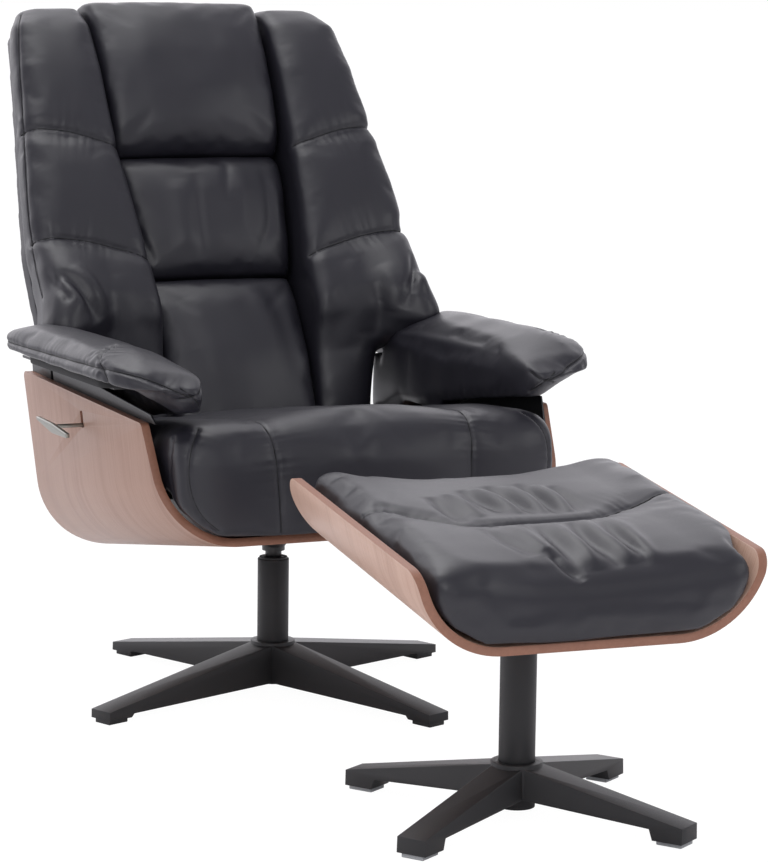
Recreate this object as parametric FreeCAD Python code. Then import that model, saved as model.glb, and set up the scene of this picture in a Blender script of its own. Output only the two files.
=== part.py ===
import FreeCAD, Part
import math
import os

# Recliner with footstool, in millimetres. The origin is on the floor under the
# chair's swivel axis, +Z is up, and the chair faces -Y with its footstool in front.

# Chair base: a four-armed star, a column tube and the glides under the arm tips
base_radius = 349.0
base_turn = 21.4
base_arm_count = 4
base_hub_radius = 34.0
base_hub_top = 76.0
base_hub_bottom = 15.0
base_ring_drop = 4.0
base_arm_root_width = 48.0
base_arm_tip_width = 37.0
base_arm_tip_top = 20.0
base_arm_tip_bottom = 7.0
base_foot_length = 42.0
base_foot_step = 5.0
base_edge_round = 3.0
arm_draft = 2.5
column_radius = 24.0
column_wall = 2.5
column_bottom = 22.0
bush_length = 34.0
bush_flange = 3.0
washer_height = 6.0
washer_margin = 3.0
running_gap = 0.05
seat_gap = 0.3

# Swivel post of the chair
post_radius = 12.5
post_collar_radius = 17.5
post_collar_height = 6.0
post_cone_height = 15.0
post_cone_radius = 27.0
post_reveal = 13.0
plate_thickness = 4.0
plate_half_width = 84.0
plate_front = 108.0
plate_rear = 92.0
plate_corner = 14.0
bolt_radius = 4.0
bolt_head_radius = 7.0
bolt_head_height = 4.5
bolt_spread_share = 0.72

# Seat shell: bent plywood with a level floor and flared walls, tilted back
ply = 12.0
shell_height = 237.0
shell_tilt = 9.1
shell_floor_half = 205.0
shell_bend = 111.0
shell_flare = 3.5
shell_front = 376.0
shell_rear = 169.0
shell_front_lean = 0.36
shell_rear_lean = 0.05
shell_wall_front = 179.0
shell_wall_rear = 275.0
shell_corner = 9.0
shell_foot_corner = 46.0
overrun = 20.0

# Release lever on the sitter's right-hand wall
slot_back = 66.0
slot_height = 192.0
slot_length = 25.0
slot_width = 10.0
lever_rod_radius = 3.0
lever_arm_length = 88.0
lever_pin_rise = 6.0
lever_arm_width = 20.0
lever_plate = 3.0
lever_wall_gap = 2.0
lever_pin_radius = 4.0
lever_reach = 42.0
handle_length = 134.0
handle_width = 19.0
handle_thickness = 6.0
handle_tip_width = 9.0
handle_droop = 4.0
handle_forward_share = 0.486

# Side brackets, back pivot and armrests
bracket_plate = 5.0
bracket_width = 84.0
bracket_foot = 96.0
bracket_lean = 12.0
bracket_flange = 4.0
bracket_flange_width = 34.0
bracket_flange_front = 236.0
bracket_flange_rear = 172.0
pivot_radius = 9.0
pivot_wall = 2.5
pivot_boss_radius = 17.0
arm_lap = 45.0
arm_width = 135.0
arm_nose = 362.0
arm_tail = 176.0
arm_rise = 285.0
arm_thickness = 45.0
arm_skirt_front = 36.0
arm_skirt_rear = 100.0
arm_round = 17.0
arm_crown = 60.0
arm_inner_drop = 26.0
arm_outer_drop = 13.0
arm_board = 12.0
arm_board_inset = 60.0
arm_board_margin = 17.0
arm_board_front = 250.0
arm_board_rear = 80.0
arm_board_corner = 20.0

# Seat: cushion, board, runners in slide rails, and the lock that holds them
seat_front = 402.0
seat_rear = 44.0
seat_side_gap = 9.0
seat_top_front = 178.0
seat_top_rear = 189.0
seat_apron = 67.0
seat_floor_gap = 5.0
seat_lip_drop = 8.0
seat_lip = 9.0
seat_seam_depth = 3.5
seat_crown = 6.0
seat_nose = 60.0
seat_side_inset = 24.0
board_thickness = 12.0
board_bottom = 70.0
board_inset = 33.0
rail_inner = 140.0
rail_depth = 24.0
rail_height = 34.0
rail_wall = 3.0
rail_front = 300.0
rail_rear = 100.0
runner_gap = 1.0
runner_bar = 12.0
runner_wall = 4.0
runner_front = 240.0
runner_rear = 38.0
glide_block_length = 36.0
link_height = 26.0
link_eye = 17.0
link_slack = 3.8
lock_radius = 13.0
lock_length = 120.0
lock_front = 150.0
lock_offset = 118.0
lock_rise = 40.0
lock_rod_radius = 4.0
lock_rod_rear = 26.0
lock_foot = 34.0

# Backrest, in its own frame: depth runs to the rear and height along the back
back_lean = 28.2
back_foot_y = 80.0
back_foot_rise = 183.0
back_pad_rear = 92.0
back_board = 6.0
frame_tube = 10.0
frame_half = 174.0
frame_top = 655.0
frame_corner = 24.0
frame_foot = 92.0
frame_cross = 465.0
cover_wall = 4.0
cover_gap = 1.0
cover_foot = 76.0
cover_top = 704.0
pivot_height = 30.0
pivot_swing = 120.0
recline_travel = 25.0
lug_plate = 5.0
lug_boss = 15.0
lug_foot = 11.0
lug_top = 150.0
link_pin_radius = 5.0
link_pin_length = 20.0
bush_wall = 2.0
back_half = 335.0
wing_top = 726.0
wing_front = 14.0
wing_taper = 34.0
wing_slope = 0.24
wing_seam_depth = 8.0
wing_round = 30.0
pad_half = 151.0
head_top = 732.0
pad_seam_depth = 40.0
pad_crown = 9.0
channel_gap = 1.0
channel_round = 22.0

# Footstool
stool_x = 8.0
stool_y = -800.0
stool_turn = -3.2
stool_base_radius = 254.0
stool_base_turn = 32.0
stool_hub_top = 74.0
stool_hub_bottom = 30.0
stool_ring_radius = 25.0
stool_ring_drop = 17.0
stool_arm_root_width = 46.0
stool_arm_tip_width = 38.0
stool_arm_tip_top = 27.0
stool_arm_tip_bottom = 6.0
stool_foot_step = 14.0
stool_column_bottom = 34.0
stool_post_reveal = 24.0
stool_collar_height = 10.0
stool_plate_half = 75.0
stool_height = 292.0
stool_tilt = -6.9
stool_floor_half = 119.0
stool_bend = 120.0
stool_flare = 15.9
stool_front = 221.0
stool_rear = 229.0
stool_front_lean = 0.03
stool_rear_lean = 0.15
stool_wall = 109.0
stool_corner = 30.0
stool_pad_front = 238.0
stool_pad_rear = 236.0
stool_pad_top = 101.0
stool_pad_side_top = 122.0
stool_pad_gap = 0.4
stool_pad_crown = 12.0
stool_pad_seam = 5.0
stool_pad_nose = 46.0
stool_pad_lip = 7.0

# Straight runs in a soft form's corner, in its crown and round a bolt
corner_chords = 3
crown_chords = 4
bolt_sides = 12

# Places that follow from the sizes above
post_collar_top = shell_height - post_cone_height
column_top = post_collar_top - post_collar_height - post_reveal
stool_collar_top = stool_height - stool_post_reveal
stool_column_top = stool_collar_top - stool_collar_height
seat_half = shell_floor_half + shell_bend - ply - seat_side_gap
board_half = seat_half - board_inset
arm_inner = seat_half - arm_lap
arm_outer = arm_inner + arm_width
arm_board_inner = arm_inner + arm_board_inset
arm_board_outer = arm_outer - arm_board_margin
arm_under = shell_height + arm_rise
arm_top = arm_under + arm_thickness
back_foot_z = shell_height + back_foot_rise
lug_inner = frame_half + frame_tube

PARTS = "parts"


def at(x, y, z):
    return FreeCAD.Vector(x, y, z)


def save(name, shape):
    """Write one node, made one solid where its pieces fused."""
    shape.exportStep(os.path.join(PARTS, name + ".step"))


def tilted(origin, angle):
    """A placement turned about X so that the front rises by the angle."""
    return FreeCAD.Placement(origin, FreeCAD.Rotation(at(1, 0, 0), -angle))


def placed(shape, placement):
    copy = shape.copy()
    copy.Placement = placement.multiply(copy.Placement)
    return copy


def mirrored(shape):
    return shape.mirror(at(0, 0, 0), at(1, 0, 0))


def chorded(arc, chords):
    """An arc as so many straight edges."""
    places = arc.discretize(chords + 1)
    return [Part.makeLine(start, end) for start, end in zip(places, places[1:])]


def rounded(corners, chords=0):
    """A closed wire of straight edges, with an arc or chords of each corner's radius."""
    points = [point for point, radius in corners]
    ends = []
    for index, (point, radius) in enumerate(corners):
        back = (points[index - 1] - point).normalize()
        ahead = (points[(index + 1) % len(points)] - point).normalize()
        if radius == 0:
            ends.append((point, None, point))
            continue
        half = back.getAngle(ahead) / 2
        middle = (back + ahead).normalize()
        run = radius / math.tan(half)
        crest = point + middle * (radius / math.sin(half) - radius)
        ends.append((point + back * run, crest, point + ahead * run))
    edges = []
    for index, (start, crest, end) in enumerate(ends):
        if crest is not None:
            arc = Part.Arc(start, crest, end).toShape()
            edges += chorded(arc, chords) if chords else [arc]
        following = ends[(index + 1) % len(ends)][0]
        edges.append(Part.makeLine(end, following))
    return Part.Wire(edges)


def prism(corners, run, chords=0):
    return Part.Face(rounded(corners, chords)).extrude(run)


def block(x0, x1, y0, y1, z0, z1):
    return Part.makeBox(x1 - x0, y1 - y0, z1 - z0, at(x0, y0, z0))


def rod(radius, start, end):
    return Part.makeCylinder(radius, (end - start).Length, start, end - start)


def peg(radius, x, y, bottom, top):
    """An upright bolt or its hole, with a few flat sides."""
    corners = []
    for number in range(bolt_sides):
        angle = 2 * math.pi * number / bolt_sides
        corners.append((at(x + radius * math.cos(angle), y + radius * math.sin(angle), bottom), 0))
    return prism(corners, at(0, 0, top - bottom))


def ring(outer, inner, bottom, top):
    tube = rod(outer, at(0, 0, bottom), at(0, 0, top))
    return tube.cut(rod(inner, at(0, 0, bottom - overrun), at(0, 0, top + overrun)))


def turned(shape, angle, centre=None):
    copy = shape.copy()
    copy.rotate(centre or at(0, 0, 0), at(0, 0, 1), angle)
    return copy


def fused(shapes):
    """One solid from pieces that share faces."""
    whole = shapes[0]
    return whole.fuse(shapes[1:]).removeSplitter()


# Star bases


def star_arm(radius, hub_bottom, hub_top, root_width, tip_width, tip_top, tip_bottom, step):
    """One arm along +X: deep at the hub, shallow at the tip, narrower on top."""
    foot_start = radius - base_foot_length
    under_slope = (foot_start - base_foot_step, tip_bottom + step)
    side = [
        (at(0, 0, hub_bottom), 0),
        (at(under_slope[0], 0, under_slope[1]), 0),
        (at(foot_start, 0, tip_bottom), 0),
        (at(radius, 0, tip_bottom), 0),
        (at(radius, 0, tip_top), 0),
        (at(0, 0, hub_top), 0),
    ]
    side = [(point - at(0, root_width, 0), corner) for point, corner in side]
    slab = prism(side, at(0, root_width * 2, 0))

    def plan(height, grow):
        root, tip = root_width / 2 + grow, tip_width / 2 + grow
        return Part.makePolygon([at(0, -root, height), at(radius, -tip, height),
                                 at(radius, tip, height), at(0, root, height),
                                 at(0, -root, height)])

    wedge = Part.makeLoft([plan(0, arm_draft), plan(hub_top, 0)], True, True)
    return slab.common(wedge)


def star(radius, turn, hub_radius, hub_bottom, hub_top, arm):
    arms = [turned(arm, turn + 360 * number / base_arm_count) for number in range(base_arm_count)]
    hub = rod(hub_radius, at(0, 0, hub_bottom), at(0, 0, hub_top))
    return fused([hub] + arms)


def glides(radius, turn, tip_width, tip_bottom):
    """The pads under the arm tips, a little shorter and narrower than the arm."""
    inset = base_edge_round
    half = tip_width / 2 - inset
    pad = block(radius - base_foot_length + inset, radius - inset, -half, half, 0, tip_bottom)
    places = range(base_arm_count)
    return Part.makeCompound([turned(pad, turn + 360 * number / base_arm_count) for number in places])


def chair_base():
    arm = star_arm(base_radius, base_hub_bottom, base_hub_top, base_arm_root_width,
                   base_arm_tip_width, base_arm_tip_top, base_arm_tip_bottom, base_foot_step)
    body = star(base_radius, base_turn, base_hub_radius, base_hub_bottom, base_hub_top, arm)
    foot_ring = rod(column_radius + column_wall, at(0, 0, base_hub_bottom - base_ring_drop),
                    at(0, 0, base_hub_bottom))
    body = fused([body, foot_ring])
    socket = rod(column_radius, at(0, 0, column_bottom), at(0, 0, base_hub_top + overrun))
    save("chair_star_base", body.cut(socket))
    save("chair_glides", glides(base_radius, base_turn, base_arm_tip_width, base_arm_tip_bottom))


def column(prefix, bottom, top, placement):
    """A column tube with its bush and the washer that the post stands on."""
    bore = column_radius - column_wall
    bush = ring(bore, post_radius + running_gap, top - bush_length, top + bush_flange)
    washer = rod(post_radius + washer_margin, at(0, 0, bottom), at(0, 0, bottom + washer_height))
    save(prefix + "_column_tube", placed(ring(column_radius, bore, bottom, top), placement))
    save(prefix + "_column_bush", placed(bush, placement))
    save(prefix + "_thrust_washer", placed(washer, placement))


# Plywood shells


def trough_face(floor_half, bend, flare, run, outer, inner):
    """The section of a bent sheet between two offsets from its outer face."""
    turn = math.radians(90 - flare)
    lean = math.radians(flare)

    def half(offset):
        radius = bend - offset
        places = [at(floor_half, 0, offset)]
        for share in (0.5, 1.0):
            angle = turn * share
            places.append(at(floor_half + radius * math.sin(angle), 0,
                             bend - radius * math.cos(angle)))
        rise = at(math.sin(lean), 0, math.cos(lean))
        places.append(places[-1] + rise * run)
        return places

    def flipped(point):
        return at(-point.x, point.y, point.z)

    low, high = half(outer), half(inner)
    edges = [Part.makeLine(flipped(low[0]), low[0]),
             Part.Arc(low[0], low[1], low[2]).toShape(),
             Part.makeLine(low[2], low[3]),
             Part.makeLine(low[3], high[3]),
             Part.makeLine(high[3], high[2]),
             Part.Arc(high[2], high[1], high[0]).toShape(),
             Part.makeLine(high[0], flipped(high[0])),
             Part.Arc(flipped(high[0]), flipped(high[1]), flipped(high[2])).toShape(),
             Part.makeLine(flipped(high[2]), flipped(high[3])),
             Part.makeLine(flipped(high[3]), flipped(low[3])),
             Part.makeLine(flipped(low[3]), flipped(low[2])),
             Part.Arc(flipped(low[2]), flipped(low[1]), flipped(low[0])).toShape()]
    return Part.Face(Part.Wire(edges))


def chair_trough(outer, inner):
    """A stretch of the chair shell's sheet, longer and taller than the shell."""
    face = trough_face(shell_floor_half, shell_bend, shell_flare, shell_wall_rear, outer, inner)
    face.translate(at(0, -shell_front - overrun, 0))
    return face.extrude(at(0, shell_front + shell_rear + overrun * 3, 0))


def across(corners, half):
    """A prism across the object from a side outline of (depth, height, radius)."""
    side = [(at(-half, depth, height), radius) for depth, height, radius in corners]
    return prism(side, at(half * 2, 0, 0))


def inner_half(height, clearance):
    """Half the room between the chair shell's walls at a height above its floor."""
    radius = shell_bend - ply - clearance
    if height >= shell_bend:
        rise = (height - shell_bend) * math.tan(math.radians(shell_flare))
        return shell_floor_half + radius + rise
    return shell_floor_half + math.sqrt(radius ** 2 - (shell_bend - height) ** 2)


def inner_floor(half, clearance):
    """The height of the chair shell's inner face at a distance from its middle."""
    beyond = max(0, half - shell_floor_half)
    radius = shell_bend - ply - clearance
    return shell_bend - math.sqrt(radius ** 2 - beyond ** 2)


shell_place = tilted(at(0, 0, shell_height), shell_tilt)


def shell_outline():
    """The side outline of the chair shell in its own tilted frame."""
    front_top = shell_wall_front
    rear_top = shell_wall_rear
    return [(-shell_front, -overrun, 0),
            (-shell_front + shell_front_lean * front_top, front_top, shell_corner),
            (shell_rear + shell_rear_lean * rear_top, rear_top, shell_corner),
            (shell_rear, 0, shell_foot_corner),
            (shell_rear - shell_foot_corner - overrun, -overrun, 0)]


def plate_bolts():
    """Where the four bolts go through the shell's floor."""
    middle = (plate_rear - plate_front) / 2
    half_run = (plate_rear + plate_front) / 2
    places = []
    for side in (-1, 1):
        for end in (-1, 1):
            places.append((side * plate_half_width * bolt_spread_share,
                           middle + end * half_run * bolt_spread_share))
    return places


def chair_shell():
    sheet = chair_trough(0, ply).common(across(shell_outline(), arm_outer))
    for x, y in plate_bolts():
        sheet = sheet.cut(peg(bolt_radius, x, y, -overrun, ply + overrun))
    slot_x = -inner_half(slot_height, 0)
    half_slot = slot_width / 2
    window = [(at(slot_x - overrun * 2, -slot_back - half_slot, slot_height - slot_length / 2), half_slot / 2),
              (at(slot_x - overrun * 2, -slot_back + half_slot, slot_height - slot_length / 2), half_slot / 2),
              (at(slot_x - overrun * 2, -slot_back + half_slot, slot_height + slot_length / 2), half_slot / 2),
              (at(slot_x - overrun * 2, -slot_back - half_slot, slot_height + slot_length / 2), half_slot / 2)]
    sheet = sheet.cut(prism(window, at(overrun * 3, 0, 0)))
    save("seat_shell", placed(sheet, shell_place))


def bolted_plate(bottom, top):
    """A plate on the shell's floor, with the four bolt holes."""
    corners = [(at(-plate_half_width, -plate_front, bottom), plate_corner),
               (at(plate_half_width, -plate_front, bottom), plate_corner),
               (at(plate_half_width, plate_rear, bottom), plate_corner),
               (at(-plate_half_width, plate_rear, bottom), plate_corner)]
    plate = prism(corners, at(0, 0, top - bottom), corner_chords)
    for x, y in plate_bolts():
        plate = plate.cut(peg(bolt_radius, x, y, bottom - overrun, top + overrun))
    return plate


def swivel_parts():
    """The post and the plates that clamp the shell's floor."""
    save("swivel_plate", placed(bolted_plate(-plate_thickness, 0), shell_place))
    save("floor_plate", placed(bolted_plate(ply, ply + plate_thickness), shell_place))
    bolts = []
    for x, y in plate_bolts():
        shank = peg(bolt_radius, x, y, -plate_thickness, ply + plate_thickness)
        head = peg(bolt_head_radius, x, y, -plate_thickness - bolt_head_height, -plate_thickness)
        nut = peg(bolt_head_radius, x, y, ply + plate_thickness,
                  ply + plate_thickness + bolt_head_height)
        bolts.append(fused([shank, head, nut]))
    save("swivel_bolts", placed(Part.makeCompound(bolts), shell_place))

    post_end = column_bottom + washer_height + seat_gap
    stem = rod(post_radius, at(0, 0, post_end), at(0, 0, shell_height))
    collar = rod(post_collar_radius, at(0, 0, post_collar_top - post_collar_height),
                 at(0, 0, post_collar_top))
    cone = Part.makeCone(post_collar_radius, post_cone_radius, shell_height - post_collar_top,
                         at(0, 0, post_collar_top))
    post = fused([stem, collar, cone])
    above = block(-plate_front, plate_front, -plate_front, plate_front, -plate_thickness, plate_front)
    save("swivel_post", post.cut(placed(above, shell_place)))


# Side brackets, pivot shaft and armrests


def back_point(depth, height):
    """A place in the backrest's frame as world y and z."""
    lean = math.radians(back_lean)
    y = back_foot_y + depth * math.cos(lean) + height * math.sin(lean)
    z = back_foot_z - depth * math.sin(lean) + height * math.cos(lean)
    return y, z


def in_shell(y, z):
    """World y and z as depth and height in the chair shell's frame."""
    tilt = math.radians(shell_tilt)
    rise = z - shell_height
    return (y * math.cos(tilt) - rise * math.sin(tilt),
            y * math.sin(tilt) + rise * math.cos(tilt))


frame_depth = back_pad_rear + back_board + frame_tube
pivot_y, pivot_z = back_point(frame_depth, pivot_height)
pivot_v, pivot_w = in_shell(pivot_y, pivot_z)

# The lower link pin hangs below the pivot so that its swing runs along the rails
swing_start = math.radians(recline_travel / 2 - shell_tilt)
link_y = pivot_y + pivot_swing * math.sin(swing_start)
link_z = pivot_z - pivot_swing * math.cos(swing_start)
link_v, link_w = in_shell(link_y, link_z)
seat_travel = pivot_swing * math.radians(recline_travel)


def side_bracket():
    """The steel plate inside one wall that holds the pivot shaft and the armrest."""
    flange_top = arm_under - arm_board
    lean_top = in_shell(arm_tail, flange_top)[1]
    rear = pivot_v + pivot_boss_radius
    outline = [(rear - bracket_width, bracket_foot, plate_corner),
               (rear, bracket_foot, plate_corner),
               (rear, pivot_w + pivot_boss_radius * 2, 0),
               (rear - bracket_lean, lean_top + overrun, 0),
               (rear - bracket_width - bracket_lean, lean_top + overrun, 0),
               (rear - bracket_width, pivot_w, 0)]
    web = chair_trough(ply, ply + bracket_plate).common(across(outline, arm_outer))
    web = placed(web, shell_place)
    side = block(0, arm_outer, -arm_nose, arm_tail * 2, 0, flange_top)
    web = web.common(side)
    flange_inner = arm_board_inner
    flange = block(flange_inner, flange_inner + bracket_flange_width, -bracket_flange_front,
                   bracket_flange_rear, flange_top - bracket_flange, flange_top)
    return fused([web, flange])


def pivot_shaft():
    """The cross tube that the backrest turns on, held in both brackets."""
    half = inner_half(pivot_w - pivot_radius, 0)
    shaft = rod(pivot_radius, at(-half, pivot_y, pivot_z), at(half, pivot_y, pivot_z))
    bore = rod(pivot_radius - pivot_wall, at(-half, pivot_y, pivot_z), at(half, pivot_y, pivot_z))
    return shaft.cut(bore)


def arm_section(place, inner_share, outer_share, top_share, skirt_share, ledge_share):
    """One section of an armrest pad across its length, at a share of its length."""
    y = -arm_nose + (arm_nose + arm_tail) * place
    middle = (arm_top + arm_under) / 2
    width = arm_outer - arm_inner
    inner = arm_inner + width * inner_share
    outer = arm_outer - width * outer_share
    half = (arm_top - arm_under) / 2
    top = middle + half * top_share
    under = middle - half * min(1, top_share * arm_under_share)
    skirt_run = arm_skirt_rear - arm_skirt_front
    skirt = under - (arm_skirt_front + skirt_run * min(1, place / arm_skirt_place_share)) * skirt_share
    corner = min(arm_round, (top - under) * 0.36)
    shrink = (outer - inner) / width * top_share
    ledge = inner + (outer - inner) * ledge_share
    return rounded([(at(inner, y, skirt), 0),
                    (at(inner + (ledge - inner) * arm_skirt_foot_share, y, skirt - 0.01 * corner), 0),
                    (at(ledge, y, under), 0),
                    (at(outer, y, under), corner / 2),
                    (at(outer, y, top - arm_outer_drop * shrink), corner),
                    (at(outer - arm_crown * shrink, y, top), corner * 2 * shrink),
                    (at(inner, y, top - arm_inner_drop * shrink), corner)], corner_chords)


# Share of the length, of the inner and outer inset, of the thickness, of the skirt and of the ledge
arm_skirt_place_share = 0.77
arm_under_share = 1.7
arm_skirt_foot_share = 0.3
arm_shares = ((0.0, 0.14, 0.52, 0.06, 0.7, 0.9),
              (0.02, 0.05, 0.34, 0.3, 0.9, 0.88),
              (0.055, 0.01, 0.19, 0.6, 1.0, 0.86),
              (0.11, 0.0, 0.07, 0.84, 1.0, 0.8),
              (0.19, 0.0, 0.01, 0.97, 1.0, 0.36),
              (0.42, 0.0, 0.0, 1.0, 1.0, 0.33),
              (0.75, 0.0, 0.0, 0.99, 1.0, 0.33),
              (0.83, 0.04, 0.0, 0.93, 0.55, 0.35),
              (0.89, 0.15, 0.01, 0.83, 0.1, 0.3),
              (0.935, 0.34, 0.03, 0.66, 0.02, 0.45),
              (0.972, 0.55, 0.08, 0.42, 0.02, 0.5),
              (0.992, 0.68, 0.14, 0.2, 0.02, 0.5))


def armrests():
    bracket = side_bracket()
    shaft_seat = rod(pivot_radius, at(0, pivot_y, pivot_z), at(arm_outer, pivot_y, pivot_z))
    bracket = bracket.cut(shaft_seat)
    shaft = pivot_shaft()
    save("back_pivot_shaft", shaft)
    pad = Part.makeLoft([arm_section(*shares) for shares in arm_shares], True, True)
    board_corners = [(at(arm_board_inner, -arm_board_front, arm_under - arm_board), arm_board_corner),
                     (at(arm_board_outer, -arm_board_front, arm_under - arm_board), arm_board_corner),
                     (at(arm_board_outer, arm_board_rear, arm_under - arm_board), arm_board_corner),
                     (at(arm_board_inner, arm_board_rear, arm_under - arm_board), arm_board_corner)]
    board = prism(board_corners, at(0, 0, arm_board - seat_gap), corner_chords)
    for name, shape in (("armrest_bracket", bracket), ("armrest_board", board), ("armrest_pad", pad)):
        save(name + "_right", mirrored(shape))
        save(name + "_left", shape)


# Release lever


def release_lever():
    """The crank inside the wall, the rod through the slot and the handle outside."""
    wall = inner_half(slot_height, 0)
    crank_outer = wall - lever_wall_gap
    rod_low = slot_height - slot_length / 2 + lever_rod_radius + lever_wall_gap / 2
    pin_back = -slot_back + lever_arm_length
    pin_height = rod_low + lever_pin_rise
    half = lever_arm_width / 2
    # The crank is parallel to the wall's inner face, so the flare is left to the pin
    inner_x = -crank_outer
    outline = [(at(inner_x, -slot_back - half, rod_low - half), half * 0.9),
               (at(inner_x, pin_back + half, pin_height - half), half * 0.9),
               (at(inner_x, pin_back + half, pin_height + half), half * 0.9),
               (at(inner_x, -slot_back - half, rod_low + half), half * 0.9)]
    crank = prism(outline, at(lever_plate, 0, 0))
    pin_bore = rod(lever_pin_radius + running_gap, at(inner_x - overrun, pin_back, pin_height),
                   at(inner_x + overrun, pin_back, pin_height))
    crank = crank.cut(pin_bore)
    rod_end = -wall - ply - lever_reach
    spindle = rod(lever_rod_radius, at(rod_end, -slot_back, rod_low), at(inner_x, -slot_back, rod_low))
    save("lever_crank", placed(crank, shell_place))
    save("lever_rod", placed(spindle, shell_place))
    pin_wall = inner_half(pin_height - lever_pin_radius, 0)
    pin = rod(lever_pin_radius, at(-pin_wall, pin_back, pin_height),
              at(inner_x + lever_plate + lever_wall_gap, pin_back, pin_height))
    save("lever_pin", placed(pin, shell_place))

    rod_y, rod_z = from_shell(-slot_back, rod_low)
    front = rod_y - handle_length * handle_forward_share
    rear = front + handle_length
    widths = (handle_tip_width / 2, handle_width / 2)
    grip = [(at(rod_end, rear, rod_z + handle_droop - widths[0] / 2), widths[0] / 3),
            (at(rod_end, rod_y, rod_z - widths[1]), handle_length / 2),
            (at(rod_end, front, rod_z - handle_droop - widths[0]), widths[0] / 3),
            (at(rod_end, front, rod_z - handle_droop + widths[0] / 2), widths[0] / 3),
            (at(rod_end, rod_y, rod_z + widths[1] / 2), handle_length / 2),
            (at(rod_end, rear, rod_z + handle_droop + widths[0] / 2), widths[0] / 3)]
    save("lever_handle", prism(grip, at(-handle_thickness, 0, 0)))


def from_shell(depth, height):
    """Depth and height in the chair shell's frame as world y and z."""
    tilt = math.radians(shell_tilt)
    return (depth * math.cos(tilt) + height * math.sin(tilt),
            shell_height - depth * math.sin(tilt) + height * math.cos(tilt))


# Seat


def seat_section(x, inset, drop):
    """A side section of the seat cushion, drawn in by the inset."""
    under = board_bottom + board_thickness
    low = min(inner_floor(abs(x), 0) + seat_floor_gap, under - seat_lip)
    front = -seat_front + inset
    edge = -shell_front + shell_front_lean * low
    top_front = seat_top_front - inset - drop
    top_rear = seat_top_rear - inset - drop
    apron = -seat_front + seat_apron
    return rounded([(at(x, front + seat_lip, low - seat_lip_drop), 0),
                    (at(x, front, top_front), seat_nose - inset),
                    (at(x, seat_rear - inset / 2, top_rear), seat_nose / 3),
                    (at(x, seat_rear - inset / 2, under), 0),
                    (at(x, apron, under), 0),
                    (at(x, apron, low), 0),
                    (at(x, edge + seat_lip / 2, low), 0),
                    (at(x, edge - seat_lip / 2, low - seat_lip_drop), 0)], crown_chords)


# Share of the half width, of the seam's depth, of the side's inset and of the crown
seat_shares = ((0.0, 0.0, 0.0, 1.0), (0.25, 0.0, 0.0, 0.75), (0.44, 0.2, 0.0, 0.3),
               (0.498, 1.0, 0.0, 0.0), (0.55, 0.2, 0.0, 0.0), (0.81, 0.0, 0.06, 0.0),
               (0.91, 0.0, 0.25, 0.0), (0.97, 0.0, 0.55, 0.0), (1.0, 0.0, 1.0, 0.0))


def both_sides(shares):
    """A table of shares for one half, repeated in mirror order for the other."""
    other = [(-row[0],) + row[1:] for row in reversed(shares) if row[0] > 0]
    return other + list(shares)


def seat_cushion():
    sections = []
    for place, pinch, draw, crown in both_sides(seat_shares):
        inset = seat_seam_depth * pinch + seat_side_inset * draw
        sections.append(seat_section(seat_half * place, inset, -seat_crown * crown))
    return Part.makeLoft(sections, True, True)


def runner():
    """A seat runner: a bar in the rail, a bent web up to the board, and the link arm."""
    bar_inner = rail_inner + rail_wall + runner_gap * 4
    bar_outer = bar_inner + runner_bar
    bar_low = ply + rail_wall + runner_gap * 4
    bar_high = ply + rail_height - rail_wall - runner_gap * 4
    web_x = rail_inner + rail_depth + runner_gap * 4
    middle = (bar_low + bar_high) / 2
    bar = block(bar_inner, bar_outer, -runner_front, runner_rear, bar_low, bar_high)
    bridge = block(bar_outer, web_x + runner_wall, -runner_front, runner_rear,
                   middle - runner_wall / 2, middle + runner_wall / 2)
    web = block(web_x, web_x + runner_wall, -runner_front, runner_rear, middle - runner_wall / 2,
                board_bottom)
    foot = block(bar_inner, web_x + runner_wall, -runner_front, runner_rear,
                 board_bottom - runner_wall, board_bottom)
    arm = [(-runner_rear, board_bottom - link_height, 0),
           (link_v - link_eye, link_w - link_eye, link_height / 2),
           (link_v + link_eye, link_w - link_eye, link_eye * 0.98),
           (link_v + link_eye, link_w + link_eye, link_eye * 0.98),
           (link_v - link_eye, link_w + link_eye, link_height / 2),
           (runner_rear, board_bottom - runner_gap, link_height / 3),
           (-runner_rear, board_bottom - runner_gap, 0)]
    corners = [(at(web_x, depth, height), radius) for depth, height, radius in arm]
    link = prism(corners, at(runner_wall, 0, 0))
    hole = rod(link_pin_radius + link_slack, at(web_x - overrun, link_v, link_w),
               at(web_x + overrun, link_v, link_w))
    return fused([bar, bridge, web, foot, link]).cut(hole)


def slide_rail():
    """A channel on the shell's floor, open to the outside."""
    outer = block(rail_inner, rail_inner + rail_depth, -rail_front, rail_rear, ply, ply + rail_height)
    hollow = block(rail_inner + rail_wall, rail_inner + rail_depth + overrun, -rail_front - overrun,
                   rail_rear + overrun, ply + rail_wall, ply + rail_height - rail_wall)
    return outer.cut(hollow)


def glide_blocks():
    """The plastic sleeves round each runner's bar, near its two ends."""
    low, high = ply + rail_wall + runner_gap / 2, ply + rail_height - rail_wall - runner_gap / 2
    inner = rail_inner + rail_wall + runner_gap / 2
    bar_inner = rail_inner + rail_wall + runner_gap * 4
    bar_low = ply + rail_wall + runner_gap * 4
    bar_high = ply + rail_height - rail_wall - runner_gap * 4
    sleeves = []
    for start in (-runner_front + runner_gap, runner_rear - glide_block_length - runner_gap):
        body = block(inner, bar_inner + runner_bar, start, start + glide_block_length, low, high)
        bar = block(bar_inner, bar_inner + runner_bar + overrun, start - overrun,
                    start + glide_block_length + overrun, bar_low, bar_high)
        sleeve = body.cut(bar)
        sleeves += [sleeve, mirrored(sleeve)]
    return Part.makeCompound(sleeves)


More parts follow.
